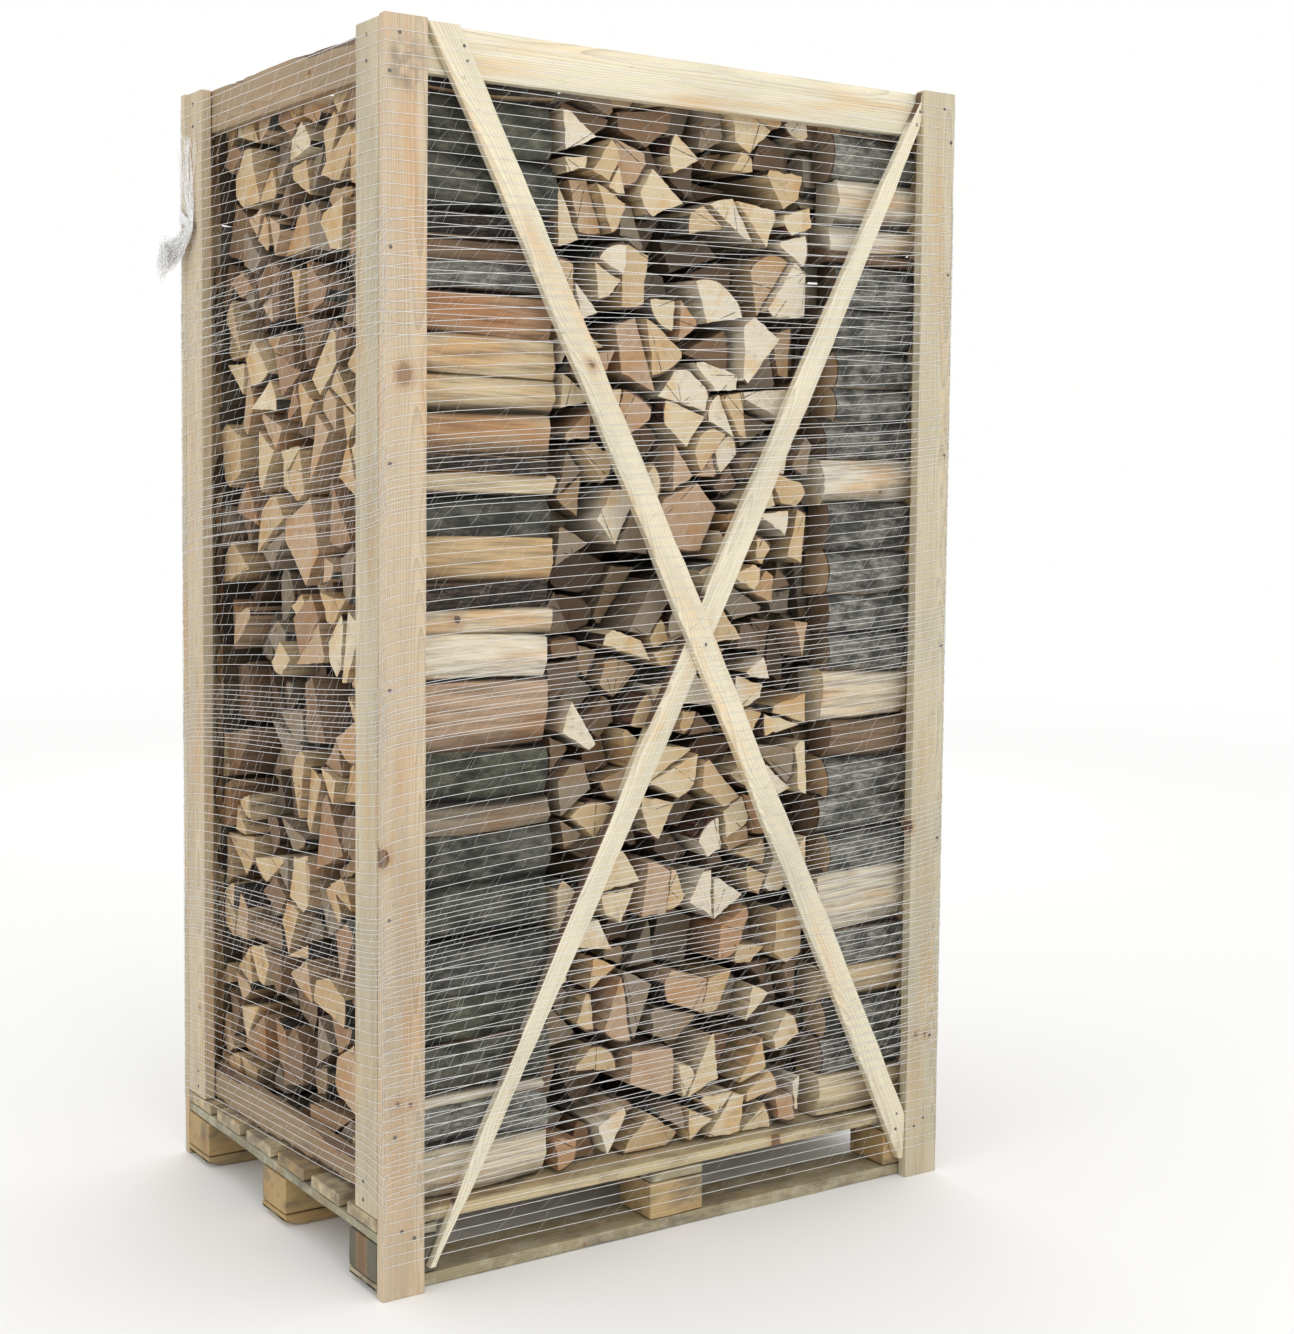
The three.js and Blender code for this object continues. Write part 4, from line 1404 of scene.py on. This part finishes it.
tailLook = {
    "steps": 16,
    "radius": 0.00042,
    "reach": (-0.6272, -0.5809),  # how far out it may hang, and where the post is
    "bundles": [
        # Each bundle: how many strands, and its path as points with the half width of the bundle in Y and
        # in Z. The net's end is pulled round the corner post to a knot on its side, over a fan of gathered
        # threads, and hangs back out past the corner as a flared tuft.
        (120, [
            (-0.5815, 0.4205, 1.778, 0.0005, 0.013),
            (-0.5825, 0.400, 1.772, 0.003, 0.010),
            (-0.5840, 0.375, 1.762, 0.003, 0.007),
            (-0.5865, 0.344, 1.750, 0.003, 0.005),
        ]),
        (34, [
            (-0.5812, 0.378, 1.905, 0.036, 0.020),
            (-0.5814, 0.380, 1.870, 0.035, 0.016),
            (-0.5816, 0.376, 1.820, 0.030, 0.012),
            (-0.5830, 0.362, 1.780, 0.016, 0.008),
            (-0.5865, 0.344, 1.750, 0.003, 0.004),
        ]),
        (190, [
            (-0.5870, 0.342, 1.752, 0.004, 0.005),
            (-0.5895, 0.356, 1.740, 0.010, 0.012),
            (-0.5900, 0.378, 1.722, 0.018, 0.020),
            (-0.5960, 0.396, 1.708, 0.020, 0.024),
            (-0.6100, 0.402, 1.702, 0.017, 0.024),
            (-0.6190, 0.400, 1.697, 0.019, 0.026),
            (-0.6230, 0.398, 1.688, 0.022, 0.030),
        ]),
        (26, [
            (-0.5865, 0.350, 1.742, 0.006, 0.007),
            (-0.5900, 0.350, 1.756, 0.008, 0.008),
            (-0.5890, 0.356, 1.748, 0.008, 0.007),
            (-0.5870, 0.350, 1.744, 0.005, 0.006),
        ]),
    ],
}


def bundleOf(strands, path, rng):
    # each strand keeps its own place in the bundle, turns a little about the middle line and curls by itself
    route = np.array(path)
    t = np.linspace(0, len(route) - 1, tailLook["steps"])
    line = np.stack([np.interp(t, np.arange(len(route)), column) for column in route.T], -1)
    line[1:-1] = (line[:-2] + 2 * line[1:-1] + line[2:]) / 4
    number = np.arange(strands)[:, None]
    angle = rng.uniform(0, 2 * math.pi, strands)[:, None] + t * 0.35
    reach = np.sqrt(rng.uniform(0, 1, strands))[:, None]
    fields = [np.stack(np.broadcast_arrays(t, number * 7.1, k * 9.0), -1) for k in range(3)]
    curl = [waves(field, rng, 3.0) for field in fields]
    aside = np.cos(angle) * reach + curl[0] * 0.3
    upwards = np.sin(angle) * reach + curl[1] * 0.3
    points = np.empty((strands, len(t), 3))
    points[..., 1] = line[:, 1] + aside * line[:, 3]
    points[..., 2] = line[:, 2] + upwards * line[:, 4]
    points[..., 0] = line[:, 0] - np.abs(curl[2]) * 0.35 * np.minimum(line[:, 3], line[:, 4])
    points[..., 0] = np.clip(points[..., 0], *tailLook["reach"])
    return points


def addTail(material):
    # each strand is a thin tube about its own line
    rng = np.random.default_rng(72)
    points = np.concatenate([bundleOf(strands, path, rng) for strands, path in tailLook["bundles"]])
    flow = np.gradient(points, axis=1)
    flow /= np.maximum(np.linalg.norm(flow, axis=-1), 1e-6)[..., None]
    first = np.cross(flow, np.array([0.9, 0.31, 0.3]))
    first /= np.maximum(np.linalg.norm(first, axis=-1), 1e-6)[..., None]
    second = np.cross(flow, first)
    rings = tube(points, first, second, tailLook["radius"])
    quads, triangles = loftFaces(len(points), points.shape[1], 3)
    piece = buildMesh("NetTail", withPoles(rings).reshape(-1, 3), quads, triangles, material)
    place(piece, "netting", ["net_tail"])


# the tail's thread is brighter than the net's: painted light that offsets the shade its strands cast on each
# other
addTail(netMaterial("netTailThread", (0.93, 0.93, 0.93, 1), (1.0, 1.0, 1.0, 1)))
print("net tail is in place")

# Nails

nailLook = {
    "radius": 0.0030,
    "proud": 0.0006,
    "around": 10,
    "postNails": {
        # faces of the posts: how far in from the corner, and how high
        "front": (
            (0.026, 1.971), (0.009, 1.912), (0.021, 0.262), (0.034, 0.108), (0.056, 0.094),
        ),
        "side": ((0.062, 1.975), (0.062, 1.935), (0.07, 0.145), (0.07, 0.175)),
        "seam": (0.62, 0.98, 1.33, 1.66),  # heights up the seam between the two boards of a post
    },
    "lathNails": [
        # which lath, how far up it, and where across it from -1 to 1
        ("outer", 0.984, 0.7), ("outer", 0.972, 0.44), ("outer", 0.5, 0.1), ("outer", 0.03, -0.3),
        ("outer", 0.045, 0.3), ("inner", 0.97, 0.2), ("inner", 0.982, -0.2),
    ],
}


def nailMaterial():
    # dull grey steel with brown rust
    material, tree = newMaterial("dullNail")
    position = addNode(tree, "TexCoord", {}).outputs["Object"]
    rust = remap(tree, noise(tree, position, 260.0, 4.0), 0.45, 0.65)
    colour = blended(tree, rust, (0.16, 0.155, 0.15, 1), (0.16, 0.075, 0.035, 1))
    finishMaterial(tree, colour, remap(tree, rust, 0, 1, 0.45, 0.8), rust, 0.0001, Metallic=0.8)
    return material


def addNails(material):
    # heads where boards cross: four rings, the last drawn in to a low dome, standing out along +-X or +-Y
    halfWide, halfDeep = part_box("post_back_right_face_board")[1][:2]
    spots = []
    for sideX in (-1, 1):
        for sideY in (-1, 1):
            for inset, z in nailLook["postNails"]["front"]:
                spots.append(((sideX * (halfWide - inset), sideY * halfDeep, z), (0, sideY)))
            for inset, z in nailLook["postNails"]["side"]:
                spots.append(((sideX * halfWide, sideY * (halfDeep - inset), z), (sideX, 0)))
            for z in nailLook["postNails"]["seam"]:
                spots.append(((sideX * (halfWide - 0.011), sideY * halfDeep, z + sideX * 0.013), (0, sideY)))
    for side in (-1, 1):
        for lath, level, across in nailLook["lathNails"]:
            middle, halfWidth, bow = lathSpan(lathLook[lath], level)
            y = lathLook["back"] + bow + lathLook["thickness"]
            z = lathLook["foot"] + (lathLook["head"] - lathLook["foot"]) * level
            spots.append(((-side * (middle + across * halfWidth), side * y, z), (0, side)))
    places = np.array([spot for spot, _ in spots])
    outward = np.array([(*way, 0) for _, way in spots], float)
    up = np.zeros_like(outward)
    up[:, 2] = 1
    aside = np.cross(up, outward)
    angles = np.arange(nailLook["around"]) * 2 * math.pi / nailLook["around"]
    ring = np.cos(angles)[:, None] * aside[:, None] + np.sin(angles)[:, None] * up[:, None]
    sizes = np.array([0.6, 1.0, 1.0, 0.7]) * nailLook["radius"]
    depths = np.array([-0.0016, -0.0016, 0.4 * nailLook["proud"], nailLook["proud"]])
    points = (
        places[:, None, None]
        + ring[:, None] * sizes[:, None, None]
        + outward[:, None, None] * depths[:, None, None]
    )
    quads, triangles = loftFaces(len(places), len(sizes), nailLook["around"])
    piece = buildMesh("Nails", withPoles(points).reshape(-1, 3), quads, triangles, material, sharpAngle=50)
    place(piece, "nail_steel", [])
    print("nails:", len(spots))


addNails(nailMaterial())

boxes = {"cad": cadBox, "visual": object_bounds()}
{name: [[float(v) for v in corner] for corner in box] for name, box in boxes.items()}
